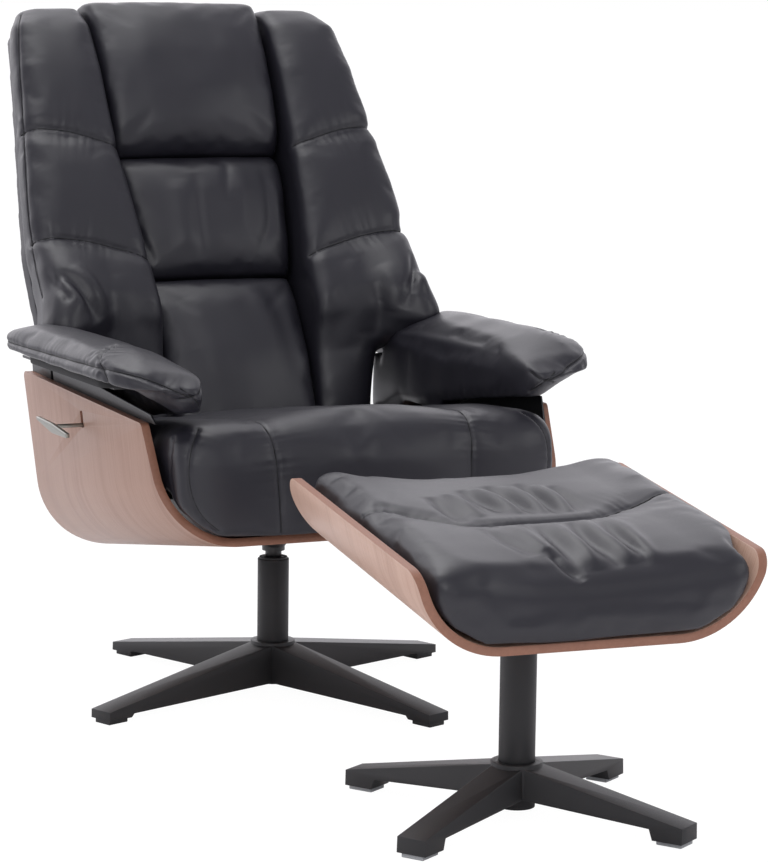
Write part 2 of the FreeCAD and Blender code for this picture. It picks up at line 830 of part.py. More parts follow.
def seat_parts():
    save("seat_cushion", placed(seat_cushion(), shell_place))
    apron = seat_front - seat_apron - runner_gap
    corners = [(at(-board_half, -apron, board_bottom), plate_corner),
               (at(board_half, -apron, board_bottom), plate_corner),
               (at(board_half, seat_rear - seat_lip, board_bottom), plate_corner),
               (at(-board_half, seat_rear - seat_lip, board_bottom), plate_corner)]
    save("seat_board", placed(prism(corners, at(0, 0, board_thickness), corner_chords), shell_place))
    for name, shape in (("seat_runner", runner()), ("slide_rail", slide_rail())):
        save(name + "_left", placed(shape, shell_place))
        save(name + "_right", placed(mirrored(shape), shell_place))
    save("runner_glides", placed(glide_blocks(), shell_place))

    x = -lock_offset
    height = ply + lock_rise
    body = rod(lock_radius, at(x, -lock_front, height), at(x, -lock_front + lock_length, height))
    foot = block(x - lock_radius, x + lock_radius, -lock_front + lock_foot,
                 -lock_front + lock_length - lock_foot, ply, height)
    bore = rod(lock_rod_radius + running_gap, at(x, -lock_front - overrun, height),
               at(x, -lock_front + lock_length + overrun, height))
    save("lock_housing", placed(fused([body, foot]).cut(bore), shell_place))
    rod_front = -lock_front - lock_rod_rear
    tail = block(x - lock_radius, x + lock_radius, lock_rod_rear, lock_rod_rear + runner_wall,
                 height - lock_radius, board_bottom)
    lock_rod = rod(lock_rod_radius, at(x, rod_front, height), at(x, lock_rod_rear, height))
    save("lock_rod", placed(fused([lock_rod, tail]), shell_place))


# Backrest

back_place = tilted(at(0, back_foot_y, back_foot_z), back_lean)


def pad_section(height, half, front, crown, corner, rear=back_pad_rear):
    """A level section of a centre pad: crowned in front, flat behind."""
    low = front + crown
    edges = [Part.makeLine(at(-half, low + corner, height), at(-half, rear, height)),
             Part.makeLine(at(-half, rear, height), at(half, rear, height)),
             Part.makeLine(at(half, rear, height), at(half, low + corner, height)),
             *corner_arc(at(half, low + corner, height), at(half - corner, low, height)),
             *chorded(Part.Arc(at(half - corner, low, height), at(0, front, height),
                               at(-half + corner, low, height)).toShape(), crown_chords),
             *corner_arc(at(-half + corner, low, height), at(-half, low + corner, height))]
    return Part.Wire(edges)


def corner_arc(start, end):
    """A quarter turn between two ends of an outline, bulging to the front."""
    middle = (start + end) / 2
    across_run = end - start
    outward = at(start.x + end.x, 0, 0)
    side = 1 if outward.x > 0 else -1
    bulge = at(side * abs(across_run.y), -abs(across_run.x), 0) * ((math.sqrt(2) - 1) / 2)
    return chorded(Part.Arc(start, middle + bulge, end).toShape(), corner_chords)


# Places and half widths of the seams between the centre pads, of the top and the half width
pad_place_shares = (-0.1434, 0.333, 0.6186, 1.0)
pad_half_shares = (0.795, 0.848, 0.954, 1.0)

# Share of the run between two seams, of the seam's depth and of the crown
lower_pad_shares = ((0.0, 1.55, 0.2), (0.035, 1.2, 0.6), (0.16, 0.5, 1.0), (0.3, 0.09, 1.2),
                    (0.55, -0.08, 1.3), (0.85, 0.22, 1.2), (0.95, 0.6, 0.9), (1.0, 1.0, 0.3))
lumbar_pad_shares = ((0.0, 1.0, 0.3), (0.06, 0.55, 0.9), (0.25, 0.18, 1.2), (0.66, 0.12, 1.3),
                     (0.88, 0.38, 1.1), (1.0, 0.95, 0.3))
head_pad_shares = ((0.0, 0.95, 0.3), (0.04, 0.35, 0.9), (0.14, -0.12, 1.2), (0.35, -0.36, 1.4),
                   (0.6, -0.3, 1.4), (0.85, -0.02, 1.3), (0.96, 0.4, 0.9), (1.0, 1.05, 0.4))


def between(table, place):
    """The value at a place in a table of (place, value), in straight steps."""
    for (low, low_value), (high, high_value) in zip(table, table[1:]):
        if place <= high or high == table[-1][0]:
            return low_value + (high_value - low_value) * (place - low) / (high - low)


def channel_half(height):
    """Half the width of the centre pads at a height along the back."""
    table = list(zip(pad_place_shares, pad_half_shares))
    return pad_half * between(table, height / head_top)


def centre_pad(shares, index):
    bottom, top = (head_top * share for share in pad_place_shares[index:index + 2])
    rings = []
    for place, depth, crown in shares:
        height = bottom + (top - bottom) * place
        rings.append(pad_section(height, channel_half(height) - channel_gap, pad_seam_depth * depth,
                                 pad_crown * crown, channel_round))
    return Part.makeLoft(rings, True, True)


# The wings' outer edge: height as a share of the top, half width as a share of the widest
wing_outline_shares = ((-0.098, 0.715), (0.055, 0.724), (0.13, 0.752), (0.193, 0.8), (0.212, 0.92),
                       (0.24, 0.97), (0.427, 0.98), (0.592, 0.945), (0.772, 0.905), (0.95, 0.88),
                       (1.0, 0.845))

# Height, inset, front's depth and slope of the sewn line, as shares of the named sizes
wing_shares = ((-0.082, 1.4, 4.6, 0.0), (-0.045, 0.5, 2.6, 0.0), (0.049, 0.2, 0.9, 0.0),
               (0.137, 0.1, -0.2, 0.1), (0.193, 0.0, -1.5, 0.2), (0.212, 0.0, -2.2, 0.3),
               (0.265, 0.0, -2.8, 0.7),
               (0.35, 0.1, -2.3, 0.9), (0.3825, 0.7, -1.6, 1.0), (0.415, 0.1, -2.1, 1.0),
               (0.51, 0.0, -1.9, 1.0), (0.607, 0.1, -1.6, 1.0), (0.6395, 0.7, -1.0, 1.0),
               (0.672, 0.1, -1.4, 0.9), (0.81, 0.0, -1.1, 0.2), (0.925, 0.3, -0.3, 0.0),
               (0.98, 1.1, 1.4, 0.0), (1.0, 2.0, 3.2, 0.0))


def wing_half(height):
    """The outer half width of a wing at a height along the back."""
    return back_half * between(wing_outline_shares, height / wing_top)


def wing_section(height, inset, front, slope):
    """A section of a wing between the channel and its rounded outer side."""
    inner = channel_half(height) + channel_gap
    outer = wing_half(height) - inset
    middle = (inner + outer) / 2
    room = min(outer - inner, back_pad_rear - front - inset)
    corner = min(wing_round, room * 0.45)

    def place(x, depth):
        return at(x, depth, height + slope * (x - middle))

    return rounded([(place(inner, back_pad_rear), 0),
                    (place(inner, front + inset), min(channel_round, room * 0.4)),
                    (place(outer, front + inset), corner),
                    (place(outer - wing_taper, back_pad_rear), 0)], corner_chords + 1)


def wing():
    sections = []
    for place, inset, front, slope in wing_shares:
        sections.append(wing_section(wing_top * place, wing_seam_depth * inset, wing_front * front,
                                     wing_slope * slope))
    return Part.makeLoft(sections, True, True)


def back_frame():
    """The inner frame: a ladder of square tube behind the back board."""
    reach, inner = frame_half + frame_tube, frame_half - frame_tube
    outline = [(at(-reach, 0, frame_foot), 0), (at(-reach, 0, frame_top + frame_tube), frame_corner),
               (at(reach, 0, frame_top + frame_tube), frame_corner), (at(reach, 0, frame_foot), 0)]
    ladder = prism(outline, at(0, frame_tube * 2, 0), corner_chords)
    bars = (frame_foot - overrun - frame_tube, lug_top, frame_cross, frame_top)
    for low, high in zip(bars, bars[1:]):
        ladder = ladder.cut(block(-inner, inner, -overrun, frame_tube * 2 + overrun,
                                  low + frame_tube, high - frame_tube))
    ladder.translate(at(0, frame_depth - frame_tube, 0))
    return ladder


def back_panel(low, high, inset):
    """The corners of the back's rear outline from a low to a high place."""
    heights = [low] + [wing_top * place for place, half in wing_outline_shares
                       if low + frame_tube * 2 < wing_top * place < high - frame_tube * 2] + [high]
    side = []
    for height in heights:
        radius = frame_tube if height in (low, high) else 0
        side.append((wing_half(height) - wing_taper - inset, height, radius))
    right = [(at(half, 0, height), radius) for half, height, radius in side]
    left = [(at(-half, 0, height), radius) for half, height, radius in reversed(side)]
    return right + left


def back_parts():
    board = prism(back_panel(frame_foot, cover_top - cover_wall * 2, cover_wall + cover_gap * 2),
                  at(0, back_board, 0), corner_chords)
    board.translate(at(0, back_pad_rear, 0))
    save("back_board", placed(board, back_place))
    depth = back_board + frame_tube * 2 + cover_gap
    outer = prism(back_panel(cover_foot, cover_top, 0), at(0, depth + cover_wall, 0), corner_chords)
    hollow = prism(back_panel(cover_foot + cover_wall, cover_top - cover_wall, cover_wall),
                   at(0, depth, 0), corner_chords)
    cover = outer.cut(hollow)
    for side in (-1, 1):
        middle = side * (lug_inner + lug_plate / 2)
        gap = lug_plate / 2 + cover_gap
        notch = block(middle - gap, middle + gap, -overrun, depth + overrun,
                      cover_foot - overrun, cover_foot + cover_wall + overrun)
        cover = cover.cut(notch)
    cover.translate(at(0, back_pad_rear, 0))
    save("back_cover", placed(cover, back_place))
    save("back_frame", placed(back_frame(), back_place))

    save("lower_back_pad", placed(centre_pad(lower_pad_shares, 0), back_place))
    save("lumbar_pad", placed(centre_pad(lumbar_pad_shares, 1), back_place))
    save("head_pad", placed(centre_pad(head_pad_shares, 2), back_place))
    side = wing()
    save("wing_left", placed(side, back_place))
    save("wing_right", placed(mirrored(side), back_place))

    lug = back_lug()
    bush = rod(pivot_radius + bush_wall, at(lug_inner - bush_wall, pivot_y, pivot_z),
               at(lug_inner + lug_plate + bush_wall, pivot_y, pivot_z))
    bush = bush.cut(rod(pivot_radius + running_gap, at(0, pivot_y, pivot_z),
                        at(arm_outer, pivot_y, pivot_z)))
    pin = rod(link_pin_radius, at(lug_inner - link_pin_length, link_y, link_z),
              at(lug_inner, link_y, link_z))
    for name, shape in (("back_lug", lug), ("back_bush", bush), ("link_pin", pin)):
        save(name + "_left", shape)
        save(name + "_right", mirrored(shape))


def strip(start, end, start_half, end_half, thickness):
    """A flat bar across X between two places, with its half width at each."""
    side = (end - start).normalize().cross(at(1, 0, 0))
    corners = [start + side * start_half, end + side * end_half,
               end - side * end_half, start - side * start_half]
    return prism([(corner, 0) for corner in corners], at(thickness, 0, 0))


def back_lug():
    """The plate that joins the frame, the pivot and the seat's link on one side."""
    top_y, top_z = back_point(frame_depth, lug_top)
    top = at(lug_inner, top_y, top_z)
    pivot = at(lug_inner, pivot_y, pivot_z)
    foot = at(lug_inner, link_y, link_z)
    run = at(lug_plate, 0, 0)
    plate = fused([strip(top, pivot, frame_tube, frame_tube, lug_plate),
                   strip(pivot, foot, lug_boss, lug_foot, lug_plate),
                   rod(lug_boss, pivot, pivot + run),
                   rod(lug_foot, foot, foot + run)])
    seat = rod(pivot_radius + bush_wall, at(0, pivot_y, pivot_z), at(arm_outer, pivot_y, pivot_z))
    return plate.cut(seat)


# Footstool

stool_axis = at(stool_x, stool_y, 0)
stool_place = FreeCAD.Placement(stool_axis, FreeCAD.Rotation(at(0, 0, 1), stool_turn))
stool_shell_place = stool_place.multiply(tilted(at(0, 0, stool_height), stool_tilt))


def stool_base():
    arm = star_arm(stool_base_radius, stool_hub_bottom, stool_hub_top, stool_arm_root_width,
                   stool_arm_tip_width, stool_arm_tip_top, stool_arm_tip_bottom, stool_foot_step)
    body = star(stool_base_radius, stool_base_turn, base_hub_radius, stool_hub_bottom,
                stool_hub_top, arm)
    foot_ring = rod(stool_ring_radius, at(0, 0, stool_hub_bottom - stool_ring_drop),
                    at(0, 0, stool_hub_bottom))
    body = fused([body, foot_ring])
    body = body.cut(rod(column_radius, at(0, 0, stool_column_bottom), at(0, 0, stool_hub_top + overrun)))
    spot = FreeCAD.Placement(stool_axis, FreeCAD.Rotation())
    save("stool_star_base", placed(body, spot))
    pads = glides(stool_base_radius, stool_base_turn, stool_arm_tip_width, stool_arm_tip_bottom)
    save("stool_glides", placed(pads, spot))
    column("stool", stool_column_bottom, stool_column_top, spot)


def stool_half_at(height, clearance):
    """Half the room between the stool shell's walls at a height above its floor."""
    radius = stool_bend - ply - clearance
    lean = math.radians(stool_flare)
    bend_top = stool_bend - radius * math.sin(lean)
    if height >= bend_top:
        edge = stool_floor_half + radius * math.cos(lean)
        return edge + (height - bend_top) * math.tan(lean)
    return stool_floor_half + math.sqrt(radius ** 2 - (stool_bend - height) ** 2)


def stool_floor_at(half, clearance):
    radius = stool_bend - ply - clearance
    lean = math.radians(stool_flare)
    beyond = max(0, half - stool_floor_half)
    bend_run = radius * math.cos(lean)
    if beyond > bend_run:
        return stool_bend - radius * math.sin(lean) + (beyond - bend_run) / math.tan(lean)
    return stool_bend - math.sqrt(radius ** 2 - beyond ** 2)


def stool_section(x, inset, seam):
    """A side section of the stool's cushion; the seam draws its middle down."""
    reach = abs(x) / stool_half_at(stool_wall, stool_pad_gap)
    bottom = stool_floor_at(abs(x), stool_pad_gap)
    top = stool_pad_top + (stool_pad_side_top - stool_pad_top) * reach ** 2 - inset
    front = -stool_pad_front + inset
    rear = stool_pad_rear - inset
    lip = max(bottom, top - stool_pad_top)
    crown = stool_pad_crown * (1 - reach ** 2)
    dip = stool_pad_seam * seam
    nose = stool_pad_nose - inset
    thickness = top - bottom
    nose = min(nose, thickness * 0.55)
    front_low = at(x, front + stool_pad_lip, lip)
    edges = []
    tail = nose / 2
    seam_top = at(x, 0, top + crown - dip)
    points = [at(x, front + nose, top), at(x, (front + nose) / 2, top + crown * 0.9), seam_top,
              at(x, (rear - tail) / 2, top + crown * 0.9), at(x, rear - tail, top)]
    edges += chorded(Part.Arc(points[0], points[1], points[2]).toShape(), crown_chords)
    edges += chorded(Part.Arc(points[2], points[3], points[4]).toShape(), crown_chords)
    quarter = math.sqrt(0.5)
    tail_mid = at(x, rear - tail + tail * quarter, top - tail + tail * quarter)
    edges += chorded(Part.Arc(points[4], tail_mid, at(x, rear, top - tail)).toShape(), corner_chords)
    edges.append(Part.makeLine(at(x, rear, top - tail), at(x, rear - stool_pad_lip, bottom)))
    edges.append(Part.makeLine(at(x, rear - stool_pad_lip, bottom), front_low))
    edges.append(Part.makeLine(front_low, at(x, front, top - nose)))
    nose_mid = at(x, front + nose - nose * quarter, top - nose + nose * quarter)
    edges += chorded(Part.Arc(at(x, front, top - nose), nose_mid, points[0]).toShape(), crown_chords)
    return Part.Wire(edges)


# Share of the half width, of the side's inset and of the seam's depth
stool_pad_shares = ((0.0, 0.0, 1.0), (0.35, 0.0, 1.0), (0.68, 0.0, 0.7), (0.88, 0.2, 0.2),
                    (0.97, 0.55, 0.1), (1.0, 1.0, 0.1))


def stool_top():
    face = trough_face(stool_floor_half, stool_bend, stool_flare, stool_wall, 0, ply)
    face.translate(at(0, -stool_front - overrun, 0))
    sheet = face.extrude(at(0, stool_front + stool_rear + overrun * 3, 0))
    outline = [(-stool_front, -overrun, 0),
               (-stool_front + stool_front_lean * stool_wall, stool_wall, stool_corner),
               (stool_rear + stool_rear_lean * stool_wall, stool_wall, stool_corner),
               (stool_rear, 0, 0),
               (stool_rear, -overrun, 0)]
    sheet = sheet.common(across(outline, arm_outer))
    half = stool_plate_half
    spread = half * bolt_spread_share
    places = [(x * spread, y * spread) for x in (-1, 1) for y in (-1, 1)]
    corners = [(at(-half, -half, -plate_thickness), plate_corner), (at(half, -half, -plate_thickness), plate_corner),
               (at(half, half, -plate_thickness), plate_corner), (at(-half, half, -plate_thickness), plate_corner)]
    plate = prism(corners, at(0, 0, plate_thickness), corner_chords)
    bolts = []
    for x, y in places:
        hole = peg(bolt_radius, x, y, -overrun, ply + overrun)
        sheet = sheet.cut(hole)
        plate = plate.cut(hole)
        shank = peg(bolt_radius, x, y, -plate_thickness, ply)
        head = peg(bolt_head_radius, x, y, -plate_thickness - bolt_head_height, -plate_thickness)
        bolts.append(fused([shank, head]))
    save("stool_shell", placed(sheet, stool_shell_place))
    save("stool_plate", placed(plate, stool_shell_place))
    save("stool_bolts", placed(Part.makeCompound(bolts), stool_shell_place))

    post_end = stool_column_bottom + washer_height + seat_gap
    stem = rod(post_radius, at(0, 0, post_end), at(0, 0, stool_height))
    collar = rod(post_collar_radius, at(0, 0, stool_collar_top), at(0, 0, stool_height))
    above = block(-half, half, -half, half, -plate_thickness, half)
    above = placed(above, tilted(at(0, 0, stool_height), stool_tilt))
    save("stool_post", placed(fused([stem, collar]).cut(above), stool_place))

    widest = stool_half_at(stool_pad_side_top, stool_pad_gap) - stool_pad_nose / 3
    sections = []
    for place, draw, seam in both_sides(stool_pad_shares):
        sections.append(stool_section(widest * place, stool_pad_nose / 2 * draw, seam))
    save("stool_cushion", placed(Part.makeLoft(sections, True, True), stool_shell_place))


os.makedirs(PARTS, exist_ok=True)
chair_base()
column("chair", column_bottom, column_top, FreeCAD.Placement())
chair_shell()
swivel_parts()
armrests()
release_lever()
seat_parts()
back_parts()
stool_base()
stool_top()
print("pivot", pivot_y, pivot_z, "link", link_y, link_z, "seat travel", seat_travel)
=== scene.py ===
import math

import bpy
import numpy as np
from mathutils import Matrix, Vector
from mathutils.bvhtree import BVHTree


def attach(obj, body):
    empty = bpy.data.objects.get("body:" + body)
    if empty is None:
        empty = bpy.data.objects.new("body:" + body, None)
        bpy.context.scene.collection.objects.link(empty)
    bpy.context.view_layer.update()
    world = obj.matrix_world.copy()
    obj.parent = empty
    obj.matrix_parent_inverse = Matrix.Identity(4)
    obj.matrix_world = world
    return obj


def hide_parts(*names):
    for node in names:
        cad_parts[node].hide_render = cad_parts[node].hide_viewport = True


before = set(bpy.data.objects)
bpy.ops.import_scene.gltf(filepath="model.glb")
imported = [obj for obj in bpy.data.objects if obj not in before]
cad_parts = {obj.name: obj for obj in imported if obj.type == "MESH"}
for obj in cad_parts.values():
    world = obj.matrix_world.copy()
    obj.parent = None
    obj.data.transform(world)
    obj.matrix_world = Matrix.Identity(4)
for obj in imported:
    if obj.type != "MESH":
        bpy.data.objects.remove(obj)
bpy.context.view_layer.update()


# Studio: a pale floor under soft light from above and in front, and a camera a little to the
# sitter's right of the chair, at a sitting person's eye level.

camera_data = bpy.data.cameras.new("camera")
camera_data.sensor_fit = "VERTICAL"
camera_data.sensor_height = 36.0
camera_data.lens = 126.0
camera = bpy.data.objects.new("camera", camera_data)
camera.matrix_world = (Matrix.Translation((-1.7716, -4.1943, 1.05))
                       @ Matrix.Rotation(math.radians(-25.0), 4, "Z")
                       @ Matrix.Rotation(math.radians(81.89), 4, "X")
                       @ Matrix.Rotation(math.radians(0.76), 4, "Z"))
bpy.context.collection.objects.link(camera)
bpy.context.scene.camera = camera
bpy.context.scene.view_settings.view_transform = "Standard"

for name, place, aim, size, watts in (
        ("light_over", (-0.4, 0.5, 3.3), (0.0, -0.2, 0.4), 2.2, 46.0),
        ("light_front", (-1.9, -4.4, 3.0), (0.0, -0.2, 0.5), 2.4, 62.0),
        ("light_left", (-3.4, -1.9, 2.4), (0.0, 0.0, 0.5), 1.8, 11.0),
        ("light_right", (3.0, -2.9, 2.4), (0.0, -0.2, 0.5), 1.8, 26.0)):
    lamp = bpy.data.lights.new(name, "AREA")
    lamp.shape = "SQUARE"
    lamp.size = size
    lamp.energy = watts
    holder = bpy.data.objects.new(name, lamp)
    holder.location = place
    holder.rotation_euler = (Vector(aim) - Vector(place)).to_track_quat("-Z", "Y").to_euler()
    bpy.context.collection.objects.link(holder)


class Flow:
    """A number that runs from one node to the next."""

    def __init__(self, finish, socket):
        self.finish = finish
        self.socket = socket

    def __add__(self, other):
        return self.finish.maths("ADD", self, other)

    def __radd__(self, other):
        return self.finish.maths("ADD", other, self)

    def __mul__(self, other):
        return self.finish.maths("MULTIPLY", self, other)

    def __rmul__(self, other):
        return self.finish.maths("MULTIPLY", other, self)


class Finish:
    """A finish built from nodes, for a surface or for the studio's air."""

    def __init__(self, name, tree=None):
        if tree is None:
            self.material = bpy.data.materials.new(name)
            self.material.use_nodes = True
            tree = self.material.node_tree
        self.tree = tree
        tree.nodes.clear()

    def node(self, kind, settings=(), values=(), output=0):
        made = self.tree.nodes.new("ShaderNode" + kind)
        for key, value in dict(settings).items():
            if key == "stops":
                while len(made.color_ramp.elements) < len(value):
                    made.color_ramp.elements.new(0.5)
                for element, (place, colour) in zip(made.color_ramp.elements, value):
                    element.position = place
                    element.color = (*colour, 1.0)
            else:
                setattr(made, key, value)
        for key, value in dict(values).items():
            if isinstance(value, Flow):
                self.tree.links.new(value.socket, made.inputs[key])
            else:
                made.inputs[key].default_value = value
        return Flow(self, made.outputs[output]) if made.outputs else made

    def maths(self, operation, first, second):
        return self.node("Math", {"operation": operation}, {0: first, 1: second})

    def mixed(self, share, first, second, blend="MIX"):
        return self.node("Mix", {"data_type": "RGBA", "blend_type": blend},
                         {0: share, 6: first, 7: second}, 2)

    def place(self, turn=(0, 0, 0)):
        spot = self.node("TexCoord", output=3)
        return self.node("Mapping", {}, {"Vector": spot, "Rotation": turn})

    def noise(self, spot, scale, detail=3.0, roughness=0.5):
        return self.node("TexNoise", {}, {"Vector": spot, "Scale": scale, "Detail": detail,
                                          "Roughness": roughness})

    def bump(self, height, distance, strength, under=None):
        values = {"Height": height, "Distance": distance, "Strength": strength}
        if under is not None:
            values["Normal"] = under
        return self.node("Bump", {}, values)

    def coat(self, values):
        shader = self.node("BsdfPrincipled", {}, values)
        self.node("OutputMaterial", {}, {"Surface": shader})


bpy.ops.mesh.primitive_plane_add(size=900.0, location=(0.0, 2.0, 0.0))
floor = bpy.context.object
floor.name = "studio_floor"
pale = Finish("studio_pale")
seen = pale.node("LightPath", output=0) * 0.9
card = pale.node("BsdfDiffuse", {}, {"Color": (0.93, 0.93, 0.93, 1.0)})
glow = pale.node("Emission", {}, {"Color": (1.0, 1.0, 1.0, 1.0), "Strength": 1.08})
both = pale.node("MixShader", {}, {0: seen, 1: card, 2: glow})
pale.node("OutputMaterial", {}, {"Surface": both})
floor.data.materials.append(pale.material)

world = bpy.data.worlds.new("studio_air")
world.use_nodes = True
bpy.context.scene.world = world
air = Finish("air", world.node_tree)
heading = air.node("TexCoord", output=0)
behind = air.node("SeparateXYZ", {}, {0: heading}, 1)
behind = air.node("MapRange", {"clamp": True}, {0: behind, 1: 0.05, 2: 0.95, 3: 0.0, 4: 1.0})
soft = air.mixed(behind, (0.42, 0.415, 0.455, 1.0), (2.1, 2.06, 2.15, 1.0))
clear = air.node("LightPath", output=0) + air.node("LightPath", output=6)
clear = air.node("Math", {"operation": "MINIMUM"}, {0: clear, 1: 1.0})
colour = air.mixed(clear, soft, (1.0, 1.0, 1.0, 1.0))
sky = air.node("Background", {}, {"Color": colour, "Strength": 1.0})
air.node("OutputWorld", {}, {"Surface": sky})


# Chair base: a star of four steel arms welded to a hub, with a glide under each tip, all in
# fine-textured matt black powder coat. Its edges are broken by hand before coating.

powder = Finish("powder_coat")
spot = powder.place()
pebble = powder.noise(spot, 900.0, 2.0)
cloud = powder.noise(spot, 22.0, 3.0)
powder.coat({"Base Color": powder.mixed(cloud, (0.008, 0.008, 0.009, 1.0), (0.013, 0.013, 0.0145, 1.0)),
             "Roughness": 0.44 + 0.12 * pebble,
             "Normal": powder.bump(pebble, 0.0004, 0.55)})


def alone(piece):
    """Selects one piece and nothing else."""
    bpy.ops.object.select_all(action="DESELECT")
    piece.select_set(True)
    bpy.context.view_layer.objects.active = piece


def finished(piece, kind, **settings):
    """Adds one modifier to the piece and applies it."""
    alone(piece)
    modifier = piece.modifiers.new(kind.lower(), kind)
    for key, value in settings.items():
        setattr(modifier, key, value)
    bpy.ops.object.modifier_apply(modifier=modifier.name)


def drawn_from(node, name, flat=1.0):
    """A copy of a solid's mesh, with its loose triangles joined into whole faces."""
    piece = bpy.data.objects.new(name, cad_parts[node].data.copy())
    bpy.context.collection.objects.link(piece)
    piece.data.materials.clear()
    alone(piece)
    bpy.ops.object.mode_set(mode="EDIT")
    bpy.ops.mesh.select_all(action="SELECT")
    bpy.ops.mesh.remove_doubles(threshold=0.00001)
    if flat:
        bpy.ops.mesh.dissolve_limited(angle_limit=math.radians(flat))
    bpy.ops.object.mode_set(mode="OBJECT")
    return piece


def settled(piece, body, slot, finish, *nodes):
    """Gives a piece its finish, its body and the solids that it stands for."""
    if not piece.data.materials:
        piece.data.materials.append(finish.material)
    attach(piece, body)
    if nodes:
        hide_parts(*nodes)


sharp_corner = math.radians(32.0)
smooth_below = math.radians(38.0)


def eased(node, body, slot, finish, width, steps=2):
    """A rigid piece with the small broken edges that its solid leaves sharp."""
    piece = drawn_from(node, node + "_made")
    finished(piece, "BEVEL", width=width, segments=steps, limit_method="ANGLE",
             angle_limit=sharp_corner, use_clamp_overlap=True)
    alone(piece)
    bpy.ops.object.shade_smooth_by_angle(angle=smooth_below)
    settled(piece, body, slot, finish, node)


def dressed(finish, *nodes):
    """Gives solids that are shown as they are their finish."""
    for node in nodes:
        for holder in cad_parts[node].material_slots:
            holder.material = finish.material


eased("chair_star_base", "chair_base", "base_paint", powder, 0.0016)
eased("chair_column_tube", "chair_base", "base_paint", powder, 0.0008)

dark_plastic = Finish("glide_plastic")
grit = dark_plastic.noise(dark_plastic.place(), 600.0)
dark_plastic.coat({"Base Color": dark_plastic.mixed(grit, (0.022, 0.022, 0.023, 1.0),
                                                    (0.034, 0.034, 0.035, 1.0)),
                   "Roughness": 0.5 + 0.15 * grit, "Normal": dark_plastic.bump(grit, 0.0002, 0.4)})
eased("chair_glides", "chair_base", "base_glide", dark_plastic, 0.0012)

bearing = Finish("bearing_plastic")
grit = bearing.noise(bearing.place(), 300.0)
bearing.coat({"Base Color": bearing.mixed(grit, (0.02, 0.02, 0.021, 1.0), (0.032, 0.032, 0.033, 1.0)),
              "Roughness": 0.34 + 0.1 * grit})
eased("chair_column_bush", "chair_base", "bush", bearing, 0.0006)
dressed(bearing, "chair_thrust_washer", "runner_glides", "back_bush_left", "back_bush_right")


# Swivel post and plates: a turned steel post with a collar, bolted through the plywood floor
# between two pressed plates. They are painted black before assembly.

paint = Finish("black_paint")
spot = paint.place()
orange_peel = paint.noise(spot, 260.0, 2.0)
paint.coat({"Base Color": paint.mixed(paint.noise(spot, 14.0), (0.009, 0.009, 0.01, 1.0),
                                      (0.014, 0.014, 0.015, 1.0)),
            "Roughness": 0.3 + 0.12 * orange_peel, "Normal": paint.bump(orange_peel, 0.0002, 0.35)})
zinc = Finish("zinc_plate")
spot = zinc.place()
frost = zinc.noise(spot, 420.0)
zinc.coat({"Base Color": zinc.mixed(frost, (0.52, 0.52, 0.5, 1.0), (0.66, 0.66, 0.65, 1.0)),
           "Metallic": 1.0, "Roughness": 0.26 + 0.16 * frost})

eased("swivel_post", "shell", "steel", paint, 0.0008)
eased("swivel_plate", "shell", "steel", paint, 0.0008)
dressed(paint, "floor_plate", "slide_rail_left", "slide_rail_right", "lock_housing", "back_pivot_shaft")
dressed(zinc, "swivel_bolts", "lever_pin")


# Chair shell: one sheet of veneered plywood, bent in a press to a floor and two flared walls.
# The veneer's grain runs round the bend, and the cut edges show the sheet's layers.

def sheet_frame(height, tilt, turn=0.0, corner=(0.0, 0.0)):
    """How a place in the room reads along and above a tilted sheet, and back again."""
    back = (Matrix.Translation((corner[0], corner[1], height))
            @ Matrix.Rotation(math.radians(turn), 4, "Z")
            @ Matrix.Rotation(math.radians(-tilt), 4, "X"))
    return back, back.inverted()


def moved(matrix, points):
    """Places through a matrix, all at once."""
    grid = np.array(matrix)
    return points @ grid[:3, :3].T + grid[:3, 3]


def veneer(name, tilt, turn, pale_tone, dark_tone, line_tone):
    """Straight-grained veneer whose fine lines run across the sheet and up its walls."""
    wood = Finish(name)
    along = wood.place((math.radians(tilt), 0.0, math.radians(-turn)))

    def lines(scale, detail, roughness):
        stretched = wood.node("Mapping", {}, {"Vector": along, "Scale": scale})
        return wood.noise(stretched, 1.0, detail, roughness)

    def ramp(value, *stops):
        return wood.node("ValToRGB", {"stops": stops}, {0: value})

    broad = lines((1.3, 34.0, 1.3), 4.0, 0.55)
    fine = lines((6.0, 520.0, 6.0), 4.0, 0.6)
    pores = lines((22.0, 1500.0, 22.0), 2.0, 0.5)
    tone = ramp(broad, (0.3, dark_tone), (0.5, pale_tone), (0.72, pale_tone))
    streak = ramp(fine, (0.34, line_tone), (0.52, (1.0, 1.0, 1.0)))
    dots = ramp(pores, (0.3, (0.62, 0.5, 0.45)), (0.42, (1.0, 1.0, 1.0)))
    colour = wood.mixed(0.55, tone, streak, "MULTIPLY")
    colour = wood.mixed(0.5, colour, dots, "MULTIPLY")
    wood.coat({"Base Color": colour, "Roughness": 0.36 + 0.14 * fine,
               "Normal": wood.bump(pores, 0.0003, 0.3), "Coat Weight": 0.12, "Coat Roughness": 0.3})
    return wood


def ply_edge(name, tilt, turn):
    """The cut edge of the sheet: redder end grain with a hint of its layers."""
    edge = Finish(name)
    along = edge.place((math.radians(tilt), 0.0, math.radians(-turn)))
    grain = edge.noise(along, 160.0, 4.0, 0.65)
    patch = edge.noise(along, 9.0, 3.0)
    colour = edge.mixed(grain, (0.18, 0.078, 0.047, 1.0), (0.32, 0.152, 0.098, 1.0))
    colour = edge.mixed(patch * 0.5, colour, (0.24, 0.1, 0.06, 1.0))
    edge.coat({"Base Color": colour, "Roughness": 0.46 + 0.14 * grain,
               "Normal": edge.bump(grain, 0.0003, 0.35)})
    return edge


